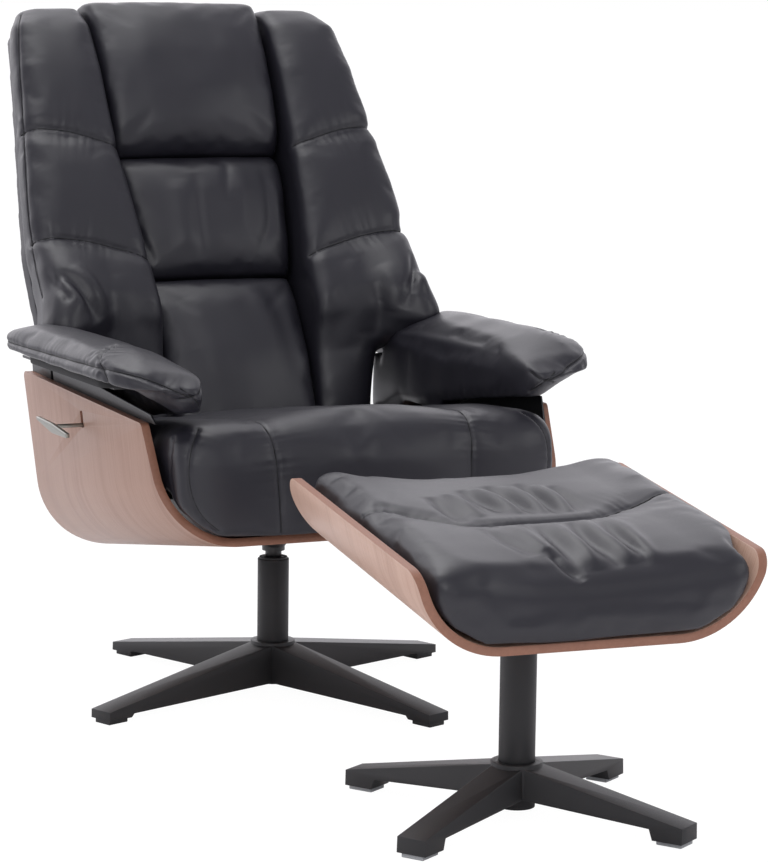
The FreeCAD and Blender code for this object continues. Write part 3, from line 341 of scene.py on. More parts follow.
def pressed_shell(node, body, frame_in, outer, edge, wall):
    """The bent sheet with eased edges, veneer on its faces and bare wood on its cuts."""
    end_grain, level_cut = 0.55, 0.72
    piece = drawn_from(node, node + "_made", 0.4)
    finished(piece, "BEVEL", width=0.0009, segments=2, limit_method="ANGLE",
             angle_limit=math.radians(40.0), use_clamp_overlap=True)
    piece.data.materials.append(outer.material)
    piece.data.materials.append(edge.material)
    turn_in = np.array(frame_in)[:3, :3]
    for face in piece.data.polygons:
        along, up = (turn_in @ np.array(face.normal))[1:]
        place = moved(frame_in, np.array([face.center]))[0]
        cut = abs(along) > end_grain or (up > level_cut and abs(place[0]) > wall)
        face.material_index = 1 if cut else 0
    alone(piece)
    bpy.ops.object.shade_smooth_by_angle(angle=smooth_below)
    settled(piece, body, "walnut", outer, node)


shell_level, shell_tilt = 0.237, 9.1
shell_out, shell_in = sheet_frame(shell_level, shell_tilt)
walnut = veneer("walnut_veneer", shell_tilt, 0.0, (0.345, 0.208, 0.154), (0.285, 0.158, 0.112),
                (0.72, 0.6, 0.52))
walnut_edge = ply_edge("walnut_edge", shell_tilt, 0.0)
pressed_shell("seat_shell", "shell", shell_in, walnut, walnut_edge, 0.27)


# Armrest brackets and boards: bent steel plates bolted inside the walls, and plywood boards
# covered in dark lining that the pads are stapled to. A thin steel plate fills the gap between
# each wall and its armrest, shallower on the lever's side to leave the lever free.

lining = Finish("dark_lining")
spot = lining.place()
weave = lining.noise(spot, 700.0, 2.0)
lining.coat({"Base Color": lining.mixed(weave, (0.014, 0.014, 0.015, 1.0), (0.026, 0.026, 0.027, 1.0)),
             "Roughness": 0.8 + 0.1 * weave, "Normal": lining.bump(weave, 0.0004, 0.6)})
for side in ("left", "right"):
    eased("armrest_bracket_" + side, "shell", "steel", paint, 0.0008)
    eased("armrest_board_" + side, "shell", "board", lining, 0.002)

plate_half = 0.0015
plate_out, plate_middle, plate_lean = 0.3089, 0.2225, 3.7
for side, sign, low_front, low_rear in (("left", 1.0, 0.14, 0.14), ("right", -1.0, 0.176, 0.249)):
    bpy.ops.object.select_all(action="DESELECT")
    bpy.ops.mesh.primitive_cube_add(size=2.0, scale=(plate_half, 1.0, 1.0))
    panel = bpy.context.object
    panel.name = "armrest_side_plate_" + side
    bpy.ops.object.transform_apply(location=True, rotation=True, scale=True)
    corners = [vertex.co.copy() for vertex in panel.data.vertices]
    for end, level, v, w in ((-1, 1, -0.320, 0.190), (-1, -1, -0.334, low_front),
                             (1, 1, 0.08, 0.284), (1, -1, 0.08, low_rear)):
        bpy.ops.object.mode_set(mode="EDIT")
        bpy.ops.mesh.select_mode(type="VERT")
        bpy.ops.mesh.select_all(action="DESELECT")
        bpy.ops.object.mode_set(mode="OBJECT")
        for vertex, corner in zip(panel.data.vertices, corners):
            vertex.select = round(corner.y) == end and round(corner.z) == level
        bpy.ops.object.mode_set(mode="EDIT")
        bpy.ops.transform.translate(value=(0.0, v - end, w - plate_middle - level))
        bpy.ops.object.mode_set(mode="OBJECT")
    panel.matrix_world = (shell_out @ Matrix.Translation((sign * plate_out, 0.0, plate_middle))
                          @ Matrix.Rotation(math.radians(sign * plate_lean), 4, "Y"))
    bpy.ops.object.transform_apply(location=True, rotation=True, scale=True)
    finished(panel, "BEVEL", width=0.0008, segments=2, limit_method="ANGLE", angle_limit=sharp_corner)
    settled(panel, "shell", "steel", paint)


# Leather: aniline hide in near black with a soft sheen, cut, sewn and pulled over foam. Each
# cushion is puffed up from its solid by pressure, held where it is sewn or lies on something.

hide = Finish("black_leather")
spot = hide.place()
cells = hide.node("TexVoronoi", {"feature": "DISTANCE_TO_EDGE"}, {"Vector": spot, "Scale": 620.0})
soft_cells = hide.node("Math", {"operation": "MINIMUM"}, {0: cells * 4.0, 1: 0.6})
fine = hide.noise(spot, 340.0, 4.0, 0.6)
hand = hide.noise(spot, 36.0, 3.0, 0.5)
wide = hide.noise(spot, 7.0, 3.0, 0.5)
grain = soft_cells * 0.6 + fine * 0.4
relief = hide.bump(grain, 0.0003, 0.22)
relief = hide.bump(hand, 0.0018, 0.1, relief)
hide.coat({"Base Color": hide.mixed(wide, (0.0092, 0.0088, 0.0135, 1.0), (0.0132, 0.0126, 0.0188, 1.0)),
           "Roughness": 0.37 + 0.08 * fine + 0.06 * wide, "Normal": relief,
           "Coat Weight": 0.04, "Coat Roughness": 0.3})

thread = Finish("black_thread")
twist = thread.noise(thread.place(), 1400.0)
thread.coat({"Base Color": thread.mixed(twist, (0.002, 0.002, 0.0025, 1.0), (0.005, 0.005, 0.006, 1.0)),
             "Roughness": 0.6 + 0.2 * twist})


def spread(piece):
    """A mesh's places and normals as tables of numbers."""
    count = len(piece.data.vertices)
    places = np.zeros(count * 3)
    normals = np.zeros(count * 3)
    piece.data.vertices.foreach_get("co", places)
    piece.data.vertices.foreach_get("normal", normals)
    return places.reshape(-1, 3), normals.reshape(-1, 3)


def reshape(piece, places):
    piece.data.vertices.foreach_set("co", places.ravel())
    piece.data.update()


def smooth_step(low, high, value):
    share = np.clip((value - low) / (high - low), 0.0, 1.0)
    return share * share * (3 - 2 * share)


def laid(piece, spots, heading, pitch=0.004):
    """Where a drawn line falls on a cushion when it is pressed on along a heading."""
    spots = np.array(spots, dtype=float)
    steps = np.concatenate([[0.0], np.cumsum(np.linalg.norm(np.diff(spots, axis=0), axis=1))])
    walk = np.linspace(0.0, steps[-1], max(4, int(steps[-1] / pitch)))
    line = np.stack([np.interp(walk, steps, spots[:, axis]) for axis in range(3)], 1)
    for turn in range(14):
        line[1:-1] = (line[:-2] + 2 * line[1:-1] + line[2:]) / 4
    tree = BVHTree.FromPolygons([vertex.co for vertex in piece.data.vertices],
                                [face.vertices for face in piece.data.polygons])
    found = []
    for spot in line:
        aim = Vector(heading(spot) if callable(heading) else heading).normalized()
        place = tree.ray_cast(Vector(spot) - aim * 0.07, aim, 0.16)[0]
        if place is not None:
            found.append(place[:])
    return np.array(found) if len(found) > 2 else line


def apart(path, places):
    """For each place, its distance from a path and how far along the path it lies."""
    near = np.flatnonzero(np.all((places > path.min(0) - 0.09) & (places < path.max(0) + 0.09), axis=1))
    spots = places[near]
    best = np.full(len(near), 9.0)
    run_there = np.zeros(len(near))
    walked = 0.0
    for start, end in zip(path, path[1:]):
        step = end - start
        length = max(np.linalg.norm(step), 1e-6)
        share = np.clip((spots - start) @ step / length ** 2, 0.0, 1.0)
        gap = np.linalg.norm(spots - start - share[:, None] * step, axis=1)
        closer = gap < best
        best = np.where(closer, gap, best)
        run_there = np.where(closer, walked + share * length, run_there)
        walked += length
    gaps = np.full(len(places), 9.0)
    runs = np.zeros(len(places))
    gaps[near] = best
    runs[near] = run_there
    return gaps, runs, walked


def uneven(points, size, seed):
    """A smooth wandering value from -1 to 1, from a few crossing waves."""
    chance = np.random.RandomState(seed)
    total = np.zeros(len(points))
    for wave in range(9):
        way = chance.normal(size=3)
        way /= np.linalg.norm(way)
        length = size * chance.uniform(0.6, 1.6)
        total += np.sin(points @ way * (2 * math.pi / length) + chance.uniform(0, 6.3))
    return total / 3.4


def soft_from(node, name, voxel, rounds, shrink, more=()):
    """The solid's mesh as one even net, rounded off and drawn in a little."""
    piece = drawn_from(node, name, 0)
    for middle, size in more:
        bpy.ops.object.select_all(action="DESELECT")
        bpy.ops.mesh.primitive_cube_add(size=1.0, location=middle, scale=size)
        bpy.ops.object.transform_apply(location=True, rotation=True, scale=True)
        piece.select_set(True)
        bpy.context.view_layer.objects.active = piece
        bpy.ops.object.join()
    piece.data.remesh_voxel_size = voxel
    bpy.ops.object.voxel_remesh()
    finished(piece, "SMOOTH", factor=0.5, iterations=rounds)
    places, normals = spread(piece)
    reshape(piece, places - normals * shrink)
    return piece


def held_along(held, piece, places, lines, heading):
    """What is held, with a narrow band along each sewn line added to it."""
    band = 0.006
    for line in lines:
        gap = apart(laid(piece, line, heading), places)[0]
        held = np.maximum(held, np.exp(-(gap / band) ** 2))
    return held


def puffed(piece, held, pressure, cap, slack):
    """Swells the net by cloth pressure, with the held places kept, and refines its mesh."""
    stiff, frames, quick_share = 16.0, 20, 0.7
    start, normals = spread(piece)
    group = piece.vertex_groups.new(name="held")
    for index, weight in enumerate(held):
        if weight > 0.01:
            group.add([index], float(min(1.0, weight)), "REPLACE")
    alone(piece)
    cloth = piece.modifiers.new("stuffing", "CLOTH")
    cloth.settings.quality = 3
    cloth.settings.tension_stiffness = stiff
    cloth.settings.compression_stiffness = stiff
    cloth.settings.shear_stiffness = stiff * 0.5
    cloth.settings.bending_stiffness = 1.5
    cloth.settings.use_pressure = True
    cloth.settings.uniform_pressure_force = pressure
    cloth.settings.shrink_min = -slack
    cloth.settings.vertex_group_mass = "held"
    cloth.settings.effector_weights.gravity = 0.0
    cloth.collision_settings.use_collision = False
    cloth.point_cache.frame_start = 1
    cloth.point_cache.frame_end = frames
    for number in range(1, frames + 1):
        bpy.context.scene.frame_set(number)
    bpy.ops.object.modifier_apply(modifier=cloth.name)
    bpy.context.scene.frame_set(1)
    piece.vertex_groups.clear()
    step = spread(piece)[0] - start
    length = np.linalg.norm(step, axis=1)
    reshape(piece, start + step * np.minimum(1.0, cap / np.maximum(length, 1e-9))[:, None])
    finished(piece, "SMOOTH", factor=0.5, iterations=3)
    finished(piece, "SUBSURF", levels=1, render_levels=1)


def sewn(piece, path, depth, width, pucker, pitch, reach, seed):
    """Draws the leather in along a sewn line, with small gathers beside it."""
    places, normals = spread(piece)
    gap, run = apart(path, places)[:2]
    wander = 0.35 * np.sin(run * 61.0 + seed) + 0.3 * np.sin(run * 143.0 + seed * 2.1)
    drop = depth * np.exp(-(gap / width) ** 2) + depth * 0.22 * np.exp(-(gap / (width * 3.0)) ** 2)
    size = 0.55 + 0.45 * np.sin(run * 37.0 + seed * 1.7)
    gather = pucker * size * np.cos(2 * math.pi * run / pitch + wander * 4) * np.exp(-gap / reach)
    gather *= 1.0 - np.exp(-(gap / (width * 0.8)) ** 2)
    reshape(piece, places + normals * (gather - drop)[:, None])


def creased(piece, path, height, width):
    """One soft fold along a line, fading out at both of its ends."""
    places, normals = spread(piece)
    gap, run, whole = apart(path, places)
    fade = np.sin(math.pi * np.clip(run / whole, 0.0, 1.0)) ** 0.7
    reshape(piece, places + normals * (height * np.exp(-(gap / width) ** 2) * fade)[:, None])


def rolled(piece, size, amount, seed):
    """The slight unevenness of foam under leather."""
    places, normals = spread(piece)
    reshape(piece, places + normals * (uneven(places, size, seed) * amount)[:, None])


def stitched(piece, name, body, lines, heading, radius=0.0008):
    """The sewn lines themselves: fine dark thread at the bottom of each groove."""
    curve = bpy.data.curves.new(name, "CURVE")
    curve.dimensions = "3D"
    curve.bevel_depth = radius
    curve.bevel_resolution = 1
    for line in lines:
        path = laid(piece, line, heading, 0.005)
        spline = curve.splines.new("POLY")
        spline.points.add(len(path) - 1)
        spline.points.foreach_set("co", np.hstack([path, np.ones((len(path), 1))]).ravel())
    cord = bpy.data.objects.new(name, curve)
    bpy.context.collection.objects.link(cord)
    alone(cord)
    bpy.ops.object.convert(target="MESH")
    cord = bpy.context.object
    bpy.ops.object.shade_smooth()
    settled(cord, body, "leather", thread)


def upholstered(piece, body, fill, *nodes):
    """The last steps of a cushion: smooth shading, its leather, its body and its solids."""
    alone(piece)
    bpy.ops.object.shade_smooth()
    settled(piece, body, "leather", hide, *nodes)


# Armrest pads: foam over the boards in a wrapped leather cover, with a seam round the outer
# side and one from the top down the outer side near the nose, where the front cap is sewn on.
# Two blocks of foam fill the inner side, back to the wings and down to the seat.

core_x, core_z, core_front, core_rear = 0.32, 0.53, -0.29, 0.1
for side, sign in (("left", 1.0), ("right", -1.0)):
    pad = soft_from("armrest_pad_" + side, "armrest_" + side, voxel=0.006, rounds=8, shrink=0.0015,
                    more=(((sign * 0.272, 0.055, 0.4815), (0.042, 0.220, 0.115)),
                          ((sign * 0.272, 0.141, 0.4450), (0.042, 0.112, 0.092))))
    places = spread(pad)[0]
    nose = smooth_step(-0.235, -0.362, places[:, 1])
    tail = smooth_step(0.09, 0.172, places[:, 1])
    upper = smooth_step(0.495, 0.56, places[:, 2])
    lower = smooth_step(0.535, 0.505, places[:, 2]) * smooth_step(0.30, 0.325, places[:, 0] * sign)
    tip = smooth_step(-0.325, -0.366, places[:, 1])
    places[:, 2] -= ((0.017 * nose ** 1.6 + 0.012 * tip) * upper + 0.006 * lower * (1.0 - nose)
                     + 0.005 * tail * upper)
    places[:, 1] += (0.006 * tail * smooth_step(0.3, 0.34, places[:, 0] * sign)
                     - 0.008 * nose * (1.0 - upper))
    reshape(pad, places)
    resting = smooth_step(0.5, 0.9, -spread(pad)[1][:, 2])
    puffed(pad, resting, pressure=3.0, cap=0.005, slack=0.004)
    rolled(pad, size=0.13, amount=0.0008, seed=5)

    def core(spot):
        """From a place on the pad's side towards the line through its middle."""
        return (sign * core_x - spot[0], min(core_rear, max(core_front, spot[1])) - spot[1],
                core_z - spot[2])

    welt = [(sign * x, y, z) for x, y, z in (
        (0.350, 0.165, 0.532), (0.378, 0.135, 0.534), (0.385, 0.059, 0.536), (0.385, -0.106, 0.539),
        (0.384, -0.247, 0.542), (0.377, -0.292, 0.543), (0.357, -0.332, 0.540), (0.338, -0.349, 0.534),
        (0.317, -0.355, 0.526), (0.298, -0.357, 0.517), (0.280, -0.358, 0.508))]
    cap = [(sign * x, y, z) for x, y, z in (
        (0.334, -0.216, 0.567), (0.350, -0.230, 0.564), (0.364, -0.245, 0.557), (0.377, -0.260, 0.548),
        (0.384, -0.274, 0.538), (0.381, -0.288, 0.527), (0.374, -0.294, 0.515))]
    cross = [(sign * x, y, z) for x, y, z in (
        (0.290, -0.357, 0.520), (0.272, -0.357, 0.505), (0.258, -0.342, 0.492))]
    short = [(sign * x, y, z) for x, y, z in (
        (0.289, -0.357, 0.503), (0.270, -0.357, 0.512), (0.256, -0.345, 0.520))]
    lines = (welt, cap, cross, short)
    depths, puckers = (0.0026, 0.0030, 0.0020, 0.0020), (0.0003, 0.0016, 0.0, 0.0)
    for number, (line, depth, pucker) in enumerate(zip(lines, depths, puckers)):
        sewn(pad, laid(pad, line, core), depth=depth, width=0.0028, pucker=pucker, pitch=0.016,
             reach=0.018, seed=3 + number)
    stitched(pad, "armrest_seams_" + side, "shell", lines, core)
    upholstered(pad, "shell", 0.7, "armrest_pad_" + side)


# Release lever: a bent crank on a pin inside the wall, a round rod out through the slot and a
# flat leaf of brushed nickel on its end.

nickel = Finish("brushed_nickel")
along = nickel.node("Mapping", {}, {"Vector": nickel.node("TexCoord", output=3),
                                    "Scale": (900.0, 30.0, 900.0)})
brush = nickel.noise(along, 1.0, 3.0)
nickel.coat({"Base Color": nickel.mixed(brush, (0.26, 0.26, 0.235, 1.0), (0.36, 0.36, 0.33, 1.0)),
             "Metallic": 1.0, "Roughness": 0.3 + 0.14 * brush, "Normal": nickel.bump(brush, 0.0001, 0.3)})
eased("lever_handle", "release_lever", "nickel", nickel, 0.0012, 3)
eased("lever_rod", "release_lever", "fastener", nickel, 0.0006)
dressed(paint, "lever_crank")


# Seat: a deep foam cushion on a board that runs on steel rails. Its cover has a middle panel
# and two side panels, sewn down along two channels that open outwards towards the back.

dressed(lining, "seat_board")
dressed(paint, "seat_runner_left", "seat_runner_right")
dressed(zinc, "lock_rod")

cushion = soft_from("seat_cushion", "seat_cushion_made", voxel=0.0075, rounds=7, shrink=0.002)
seat_lines = []
for sign in (-1.0, 1.0):
    seat_lines.append(moved(shell_out, np.array([(sign * x, v, w) for x, v, w in (
        (0.205, -0.07, 0.186), (0.190, -0.15, 0.186), (0.176, -0.23, 0.186), (0.166, -0.30, 0.186),
        (0.160, -0.345, 0.180), (0.155, -0.384, 0.155), (0.152, -0.396, 0.122), (0.149, -0.395, 0.082),
        (0.148, -0.392, 0.049), (0.148, -0.391, 0.018))])))
slanting = moved(shell_out, np.array([(0.0, 0.0, 0.0), (0.0, 0.6, -0.8)]))
slanting = slanting[1] - slanting[0]
places, normals = spread(cushion)
local = moved(shell_in, places)
held = held_along(np.zeros(len(places)), cushion, places, seat_lines, slanting)
held = np.maximum(held, smooth_step(0.4, 0.8, -normals[:, 2]))
held = np.maximum(held, smooth_step(0.25, 0.285, np.abs(local[:, 0])) * smooth_step(0.13, 0.09, local[:, 2]))
held = np.maximum(held, smooth_step(0.4, 0.8, normals[:, 1]))
puffed(cushion, held, pressure=4.0, cap=0.0055, slack=0.004)
rolled(cushion, size=0.18, amount=0.0012, seed=11)
for number, line in enumerate(seat_lines):
    sewn(cushion, laid(cushion, line, slanting), depth=0.0026, width=0.0027, pucker=0.0006,
         pitch=0.013, reach=0.022, seed=4 + number)
side_lines = []
for sign in (-1.0, 1.0):
    for drawn, depth, threaded in (
            ([(0.262, -0.375, 0.165), (0.276, -0.38, 0.13), (0.280, -0.38, 0.098),
              (0.275, -0.38, 0.07), (0.262, -0.38, 0.044), (0.24, -0.385, 0.025)], 0.0024, True),
            ([(0.281, -0.34, 0.160), (0.290, -0.345, 0.128), (0.293, -0.345, 0.098),
              (0.287, -0.35, 0.065), (0.272, -0.355, 0.036)], 0.0018, False)):
        line = moved(shell_out, np.array([(sign * x, v, w) for x, v, w in drawn]))
        inward = (-0.5 * sign, 0.85, 0.0)
        sewn(cushion, laid(cushion, line, inward), depth=depth, width=0.0030, pucker=0.0007,
             pitch=0.015, reach=0.012, seed=9 + sign)
        if threaded:
            side_lines.append((line, inward))
stitched(cushion, "seat_seams", "seat", seat_lines, slanting)
for number, (line, inward) in enumerate(side_lines):
    stitched(cushion, "seat_side_seam_%d" % (number + 1), "seat", [line], inward, 0.0006)
upholstered(cushion, "seat", 0.8, "seat_cushion")


# Backrest inside: a ladder of square steel tube carries a lined board, the hinge lugs and
# their bushes and pins.

dressed(paint, "back_frame", "back_lug_left", "back_lug_right")
dressed(zinc, "link_pin_left", "link_pin_right")
dressed(lining, "back_board")
back_level, back_lean, back_behind = 0.42, 28.2, 0.08
back_out, back_in = sheet_frame(back_level, back_lean, 0.0, (0.0, back_behind))

cover = soft_from("back_cover", "back_cover_made", voxel=0.006, rounds=3, shrink=0.0006)
held = 1.0 - smooth_step(0.6, 0.9, spread(cover)[1] @ np.array(back_out)[:3, 1])
puffed(cover, held, pressure=2.0, cap=0.003, slack=0.003)
upholstered(cover, "back", 0.3, "back_cover")


# Backrest pads: three foam pads one above the other, the head pad the fullest, lapping over
# the one below it. The leather of the lower two hangs in a few soft upright folds.

inwards = np.array(back_out)[:3, 1]
pad_folds = {
    "lower_back_pad": (([(0.064, 0.232), (0.082, 0.17), (0.088, 0.10), (0.09, 0.03)], -0.0022, 0.016),
                       ([(0.035, 0.225), (0.05, 0.16), (0.056, 0.09)], 0.0018, 0.016),
                       ([(-0.07, 0.20), (-0.05, 0.13), (-0.03, 0.05)], 0.0018, 0.02),
                       ([(-0.105, 0.225), (-0.085, 0.17), (-0.07, 0.11)], -0.0016, 0.014)),
    "lumbar_pad": (([(-0.022, 0.41), (-0.028, 0.35), (-0.03, 0.30), (-0.027, 0.265)], -0.0030, 0.010),
                   ([(-0.05, 0.40), (-0.056, 0.34), (-0.054, 0.28)], 0.0020, 0.016),
                   ([(0.041, 0.432), (0.030, 0.40), (0.022, 0.36)], -0.0024, 0.008),
                   ([(0.06, 0.425), (0.052, 0.37), (0.045, 0.31)], 0.0020, 0.012),
                   ([(0.100, 0.425), (0.100, 0.37), (0.094, 0.32), (0.066, 0.272)],
                    -0.0024, 0.010),
                   ([(0.112, 0.40), (0.115, 0.34), (0.11, 0.29)], 0.0018, 0.012),
                   ([(-0.126, 0.33), (-0.122, 0.30), (-0.108, 0.262)], -0.0028, 0.007)),
    "head_pad": (([(0.06, 0.68), (0.075, 0.60), (0.07, 0.53)], 0.0014, 0.02),
                 ([(-0.07, 0.69), (-0.08, 0.60), (-0.075, 0.52)], 0.0014, 0.02))}
for node, seed in (("lower_back_pad", 21), ("lumbar_pad", 22), ("head_pad", 23)):
    pad = soft_from(node, node + "_made", voxel=0.0065, rounds=5, shrink=0.002)
    places, normals = spread(pad)
    local = moved(back_in, places)
    front = smooth_step(-0.1, 0.4, -(normals @ inwards))
    held = np.maximum(1.0 - front, smooth_step(0.075, 0.09, local[:, 1]))
    puffed(pad, held, pressure=4.0, cap=0.006, slack=0.005)
    rolled(pad, size=0.15, amount=0.001, seed=seed)
    for fold, height, width in pad_folds[node]:
        line = moved(back_out, np.array([(x, 0.02, w) for x, w in fold]))
        creased(pad, laid(pad, line, inwards), height, width)
    upholstered(pad, "back", 0.75, node)


# Backrest wings: padded side pieces in three lengths, sewn across on a slant, with one more
# seam down the outer front edge. The lowest length is slack, folds, and rests on the armrest.

wing_lines = ([(0.136, 0.252), (0.156, 0.260), (0.180, 0.267), (0.208, 0.276), (0.244, 0.285),
               (0.283, 0.290), (0.318, 0.291)],
              [(0.150, 0.449), (0.170, 0.453), (0.195, 0.462), (0.221, 0.470), (0.244, 0.475),
               (0.27, 0.479), (0.306, 0.482)])
wing_folds = {
    "right": (([(0.302, 0.216), (0.286, 0.212), (0.272, 0.196), (0.258, 0.165), (0.246, 0.138)],
               -0.011, 0.010),
              ([(0.272, 0.232), (0.254, 0.205), (0.236, 0.165), (0.226, 0.13)], 0.005, 0.014),
              ([(0.300, 0.190), (0.285, 0.168), (0.272, 0.148)], 0.005, 0.010),
              ([(0.312, 0.235), (0.308, 0.205), (0.300, 0.18), (0.29, 0.16)], -0.006, 0.007),
              ([(0.20, 0.22), (0.19, 0.15), (0.18, 0.08)], 0.0025, 0.02)),
    "left": (([(0.304, 0.240), (0.292, 0.205), (0.274, 0.168), (0.262, 0.140)], -0.009, 0.008),
             ([(0.306, 0.20), (0.298, 0.18), (0.29, 0.165)], 0.005, 0.012),
             ([(0.226, 0.19), (0.230, 0.15), (0.225, 0.11)], -0.0045, 0.011),
             ([(0.245, 0.22), (0.25, 0.18), (0.246, 0.14)], 0.0035, 0.014),
             ([(0.195, 0.235), (0.205, 0.18), (0.21, 0.12)], 0.003, 0.018))}
for side, sign in (("left", 1.0), ("right", -1.0)):
    wing = soft_from("wing_" + side, "wing_made_" + side, voxel=0.0075, rounds=5, shrink=0.0015)
    local = moved(back_in, spread(wing)[0])
    flare = smooth_step(0.30, 0.17, local[:, 2]) * smooth_step(0.095, 0.135, local[:, 2])
    flare *= smooth_step(0.205, 0.275, np.abs(local[:, 0]))
    local[:, 0] += sign * (0.002 + 0.024 * smooth_step(0.225, 0.165, local[:, 2])) * flare
    local[:, 1] -= 0.038 * flare * smooth_step(0.10, 0.02, local[:, 1])
    local[:, 2] -= 0.040 * smooth_step(0.27, 0.18, local[:, 2]) * flare
    reshape(wing, moved(back_out, local))
    cross_lines = [moved(back_out, np.array([(sign * x, 0.0, w) for x, w in line]))
                   for line in wing_lines]
    for line in cross_lines:
        places, normals = spread(wing)
        local = moved(back_in, places)
        drawn = moved(back_in, line)
        order = np.argsort(np.abs(drawn[:, 0]))
        rise = np.abs(local[:, 2] - np.interp(np.abs(local[:, 0]), np.abs(drawn[order, 0]),
                                              drawn[order, 2]))
        out = np.maximum(normals @ -inwards, 0.0) + np.maximum(normals[:, 0] * sign, 0.0)
        fill = np.minimum(1.0, out) * smooth_step(-0.8, -0.2, normals @ -inwards)
        reshape(wing, places + normals * (0.0062 * fill * np.exp(-(rise / 0.019) ** 2))[:, None])
    places, normals = spread(wing)
    held = smooth_step(0.5, 0.85, normals @ inwards)
    held = np.maximum(held, smooth_step(0.5, 0.9, -normals[:, 0] * sign))
    held = held_along(held, wing, places, cross_lines, inwards)
    puffed(wing, held, pressure=3.5, cap=0.005, slack=0.004)
    rolled(wing, size=0.17, amount=0.001, seed=31)
    for number, line in enumerate(cross_lines):
        sewn(wing, laid(wing, line, inwards), depth=0.0034, width=0.0030, pucker=0.0006,
             pitch=0.016, reach=0.022, seed=13 + number)
    for fold, height, width in wing_folds[side]:
        line = moved(back_out, np.array([(sign * x, 0.0, w) for x, w in fold]))
        creased(wing, laid(wing, line, inwards), height, width)
    outer = moved(back_out, np.array([(sign * x, 0.01, w) for x, w in (
        (0.268, 0.70), (0.280, 0.62), (0.290, 0.52), (0.300, 0.42), (0.309, 0.33), (0.311, 0.25),
        (0.305, 0.19))]))
    aside = inwards + np.array([-0.45 * sign, 0.0, 0.0])
    sewn(wing, laid(wing, outer, aside), depth=0.0020, width=0.0030, pucker=0.0003, pitch=0.02,
         reach=0.012, seed=17)
    stitched(wing, "wing_seams_" + side, "back", cross_lines, inwards)
    stitched(wing, "wing_edge_seam_" + side, "back", [outer], aside, 0.0006)
    upholstered(wing, "back", 0.7, "wing_" + side)


# Footstool base: the same star in a smaller size, in the same powder coat, on silver-grey
# glides, and its own column with a bush at its mouth.

eased("stool_star_base", "stool_base", "base_paint", powder, 0.0016)
eased("stool_column_tube", "stool_base", "base_paint", powder, 0.0008)
eased("stool_column_bush", "stool_base", "bush", bearing, 0.0006)
dressed(bearing, "stool_thrust_washer")
silver = Finish("silver_plastic")
grit = silver.noise(silver.place(), 500.0)
silver.coat({"Base Color": silver.mixed(grit, (0.3, 0.31, 0.32, 1.0), (0.4, 0.41, 0.42, 1.0)),
             "Roughness": 0.42 + 0.12 * grit})
eased("stool_glides", "stool_base", "stool_glide", silver, 0.0012)


# Footstool top: a smaller bent shell with a post and plate under it. Its veneer is given
# paler tones than the chair's.

eased("stool_post", "stool_top", "steel", paint, 0.0008)
eased("stool_plate", "stool_top", "steel", paint, 0.0008)
dressed(zinc, "stool_bolts")
stool_level, stool_tilt, stool_turn = 0.292, -6.9, -3.2
stool_out, stool_in = sheet_frame(stool_level, stool_tilt, stool_turn, (0.008, -0.8))
stool_walnut = veneer("stool_walnut_veneer", stool_tilt, stool_turn, (0.5, 0.325, 0.248),
                      (0.41, 0.25, 0.182), (0.76, 0.65, 0.58))
stool_edge = ply_edge("stool_walnut_edge", stool_tilt, stool_turn)
pressed_shell("stool_shell", "stool_top", stool_in, stool_walnut, stool_edge, 0.2)


# Footstool cushion: one crowned cushion between the walls, sewn down across its middle, where
# the leather gathers into slanting wrinkles. Its edge is lifted and laps over one wall.

stool = soft_from("stool_cushion", "stool_cushion_made", voxel=0.007, rounds=7, shrink=0.002)
drawn_level, fold_height, fold_width = 0.112, 1.9, 0.88
downward = -np.array(stool_out)[:3, 2]
stool_line = moved(stool_out, np.array([(x, v, drawn_level) for x, v in (
    (-0.228, 0.045), (-0.218, 0.036), (-0.207, 0.031), (-0.181, 0.027), (-0.155, 0.012),
    (-0.124, -0.017), (-0.100, -0.042), (-0.049, -0.043), (0.002, -0.040), (0.046, -0.036),
    (0.091, -0.032), (0.131, -0.008), (0.171, 0.011), (0.205, 0.030), (0.226, 0.040))]))
local = moved(stool_in, spread(stool)[0])
lift = smooth_step(0.15, 0.195, np.abs(local[:, 0])) * smooth_step(0.065, 0.095, local[:, 2])
lift *= smooth_step(-0.230, -0.10, local[:, 1])
local[:, 2] += np.where(local[:, 0] > 0.0, 0.009, 0.006) * lift
over = smooth_step(0.100, 0.115, local[:, 2]) * lift
local[:, 0] += np.where(local[:, 0] > 0.0, 0.023, -0.004) * over
reshape(stool, moved(stool_out, local))
places, normals = spread(stool)
held = smooth_step(0.3, 0.7, normals @ downward)
held = held_along(held, stool, places, [stool_line], downward)
puffed(stool, held, pressure=4.0, cap=0.0055, slack=0.004)
rolled(stool, size=0.18, amount=0.0012, seed=41)
sewn(stool, laid(stool, stool_line, downward), depth=0.0028, width=0.0028, pucker=0.0006,
     pitch=0.016, reach=0.022, seed=19)
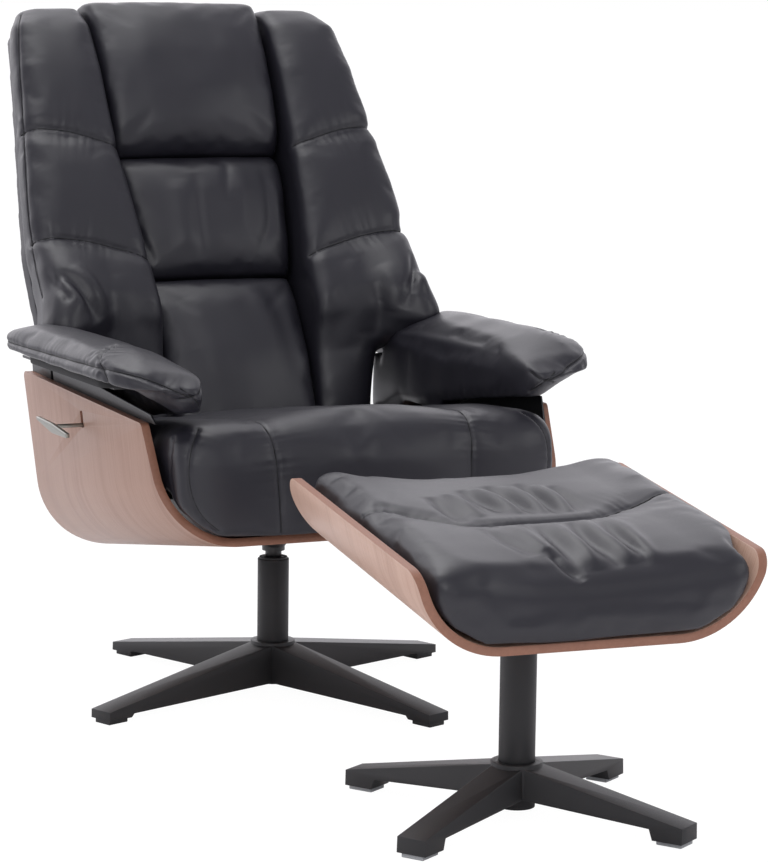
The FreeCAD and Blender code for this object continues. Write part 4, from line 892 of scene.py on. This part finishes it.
for fold, height, width in (([(-0.104, 0.075), (-0.101, 0.02), (-0.094, -0.028)], -0.0040, 0.011),
                            ([(-0.075, 0.09), (-0.074, 0.04), (-0.066, -0.015)], 0.0040, 0.012),
                            ([(-0.049, 0.105), (-0.043, 0.056), (-0.032, 0.0)], -0.0036, 0.010),
                            ([(-0.028, 0.105), (-0.02, 0.05), (-0.01, -0.01)], 0.0042, 0.011),
                            ([(-0.009, 0.115), (0.002, 0.057), (0.010, -0.008)], -0.0040, 0.010),
                            ([(0.018, 0.11), (0.025, 0.05), (0.026, -0.01)], 0.0040, 0.011),
                            ([(0.037, 0.117), (0.043, 0.05), (0.042, -0.013)], -0.0040, 0.010),
                            ([(0.058, 0.105), (0.064, 0.045), (0.060, -0.01)], 0.0038, 0.011),
                            ([(0.075, 0.095), (0.080, 0.036), (0.076, -0.014)], -0.0034, 0.010),
                            ([(-0.092, -0.07), (-0.079, -0.125), (-0.062, -0.17)], -0.0026, 0.012),
                            ([(-0.050, -0.06), (-0.045, -0.12), (-0.038, -0.17)], 0.0030, 0.012),
                            ([(-0.019, -0.05), (-0.015, -0.132), (-0.017, -0.205)], -0.0036, 0.010),
                            ([(-0.041, -0.155), (-0.033, -0.189), (-0.015, -0.214)], -0.0042, 0.009),
                            ([(0.006, -0.06), (0.008, -0.13), (0.010, -0.20)], 0.0040, 0.011),
                            ([(0.031, -0.06), (0.028, -0.139), (0.040, -0.20)], -0.0036, 0.010),
                            ([(0.052, -0.055), (0.050, -0.13), (0.060, -0.195)], 0.0036, 0.011),
                            ([(0.072, -0.055), (0.071, -0.137), (0.082, -0.20)], -0.0032, 0.010),
                            ([(0.093, -0.06), (0.089, -0.14), (0.086, -0.20)], 0.0030, 0.011)):
    line = moved(stool_out, np.array([(x, v, drawn_level) for x, v in fold]))
    creased(stool, laid(stool, line, downward), height * fold_height, width * fold_width)
stitched(stool, "stool_seam", "stool_top", [stool_line], downward)
upholstered(stool, "stool_top", 0.8, "stool_cushion")
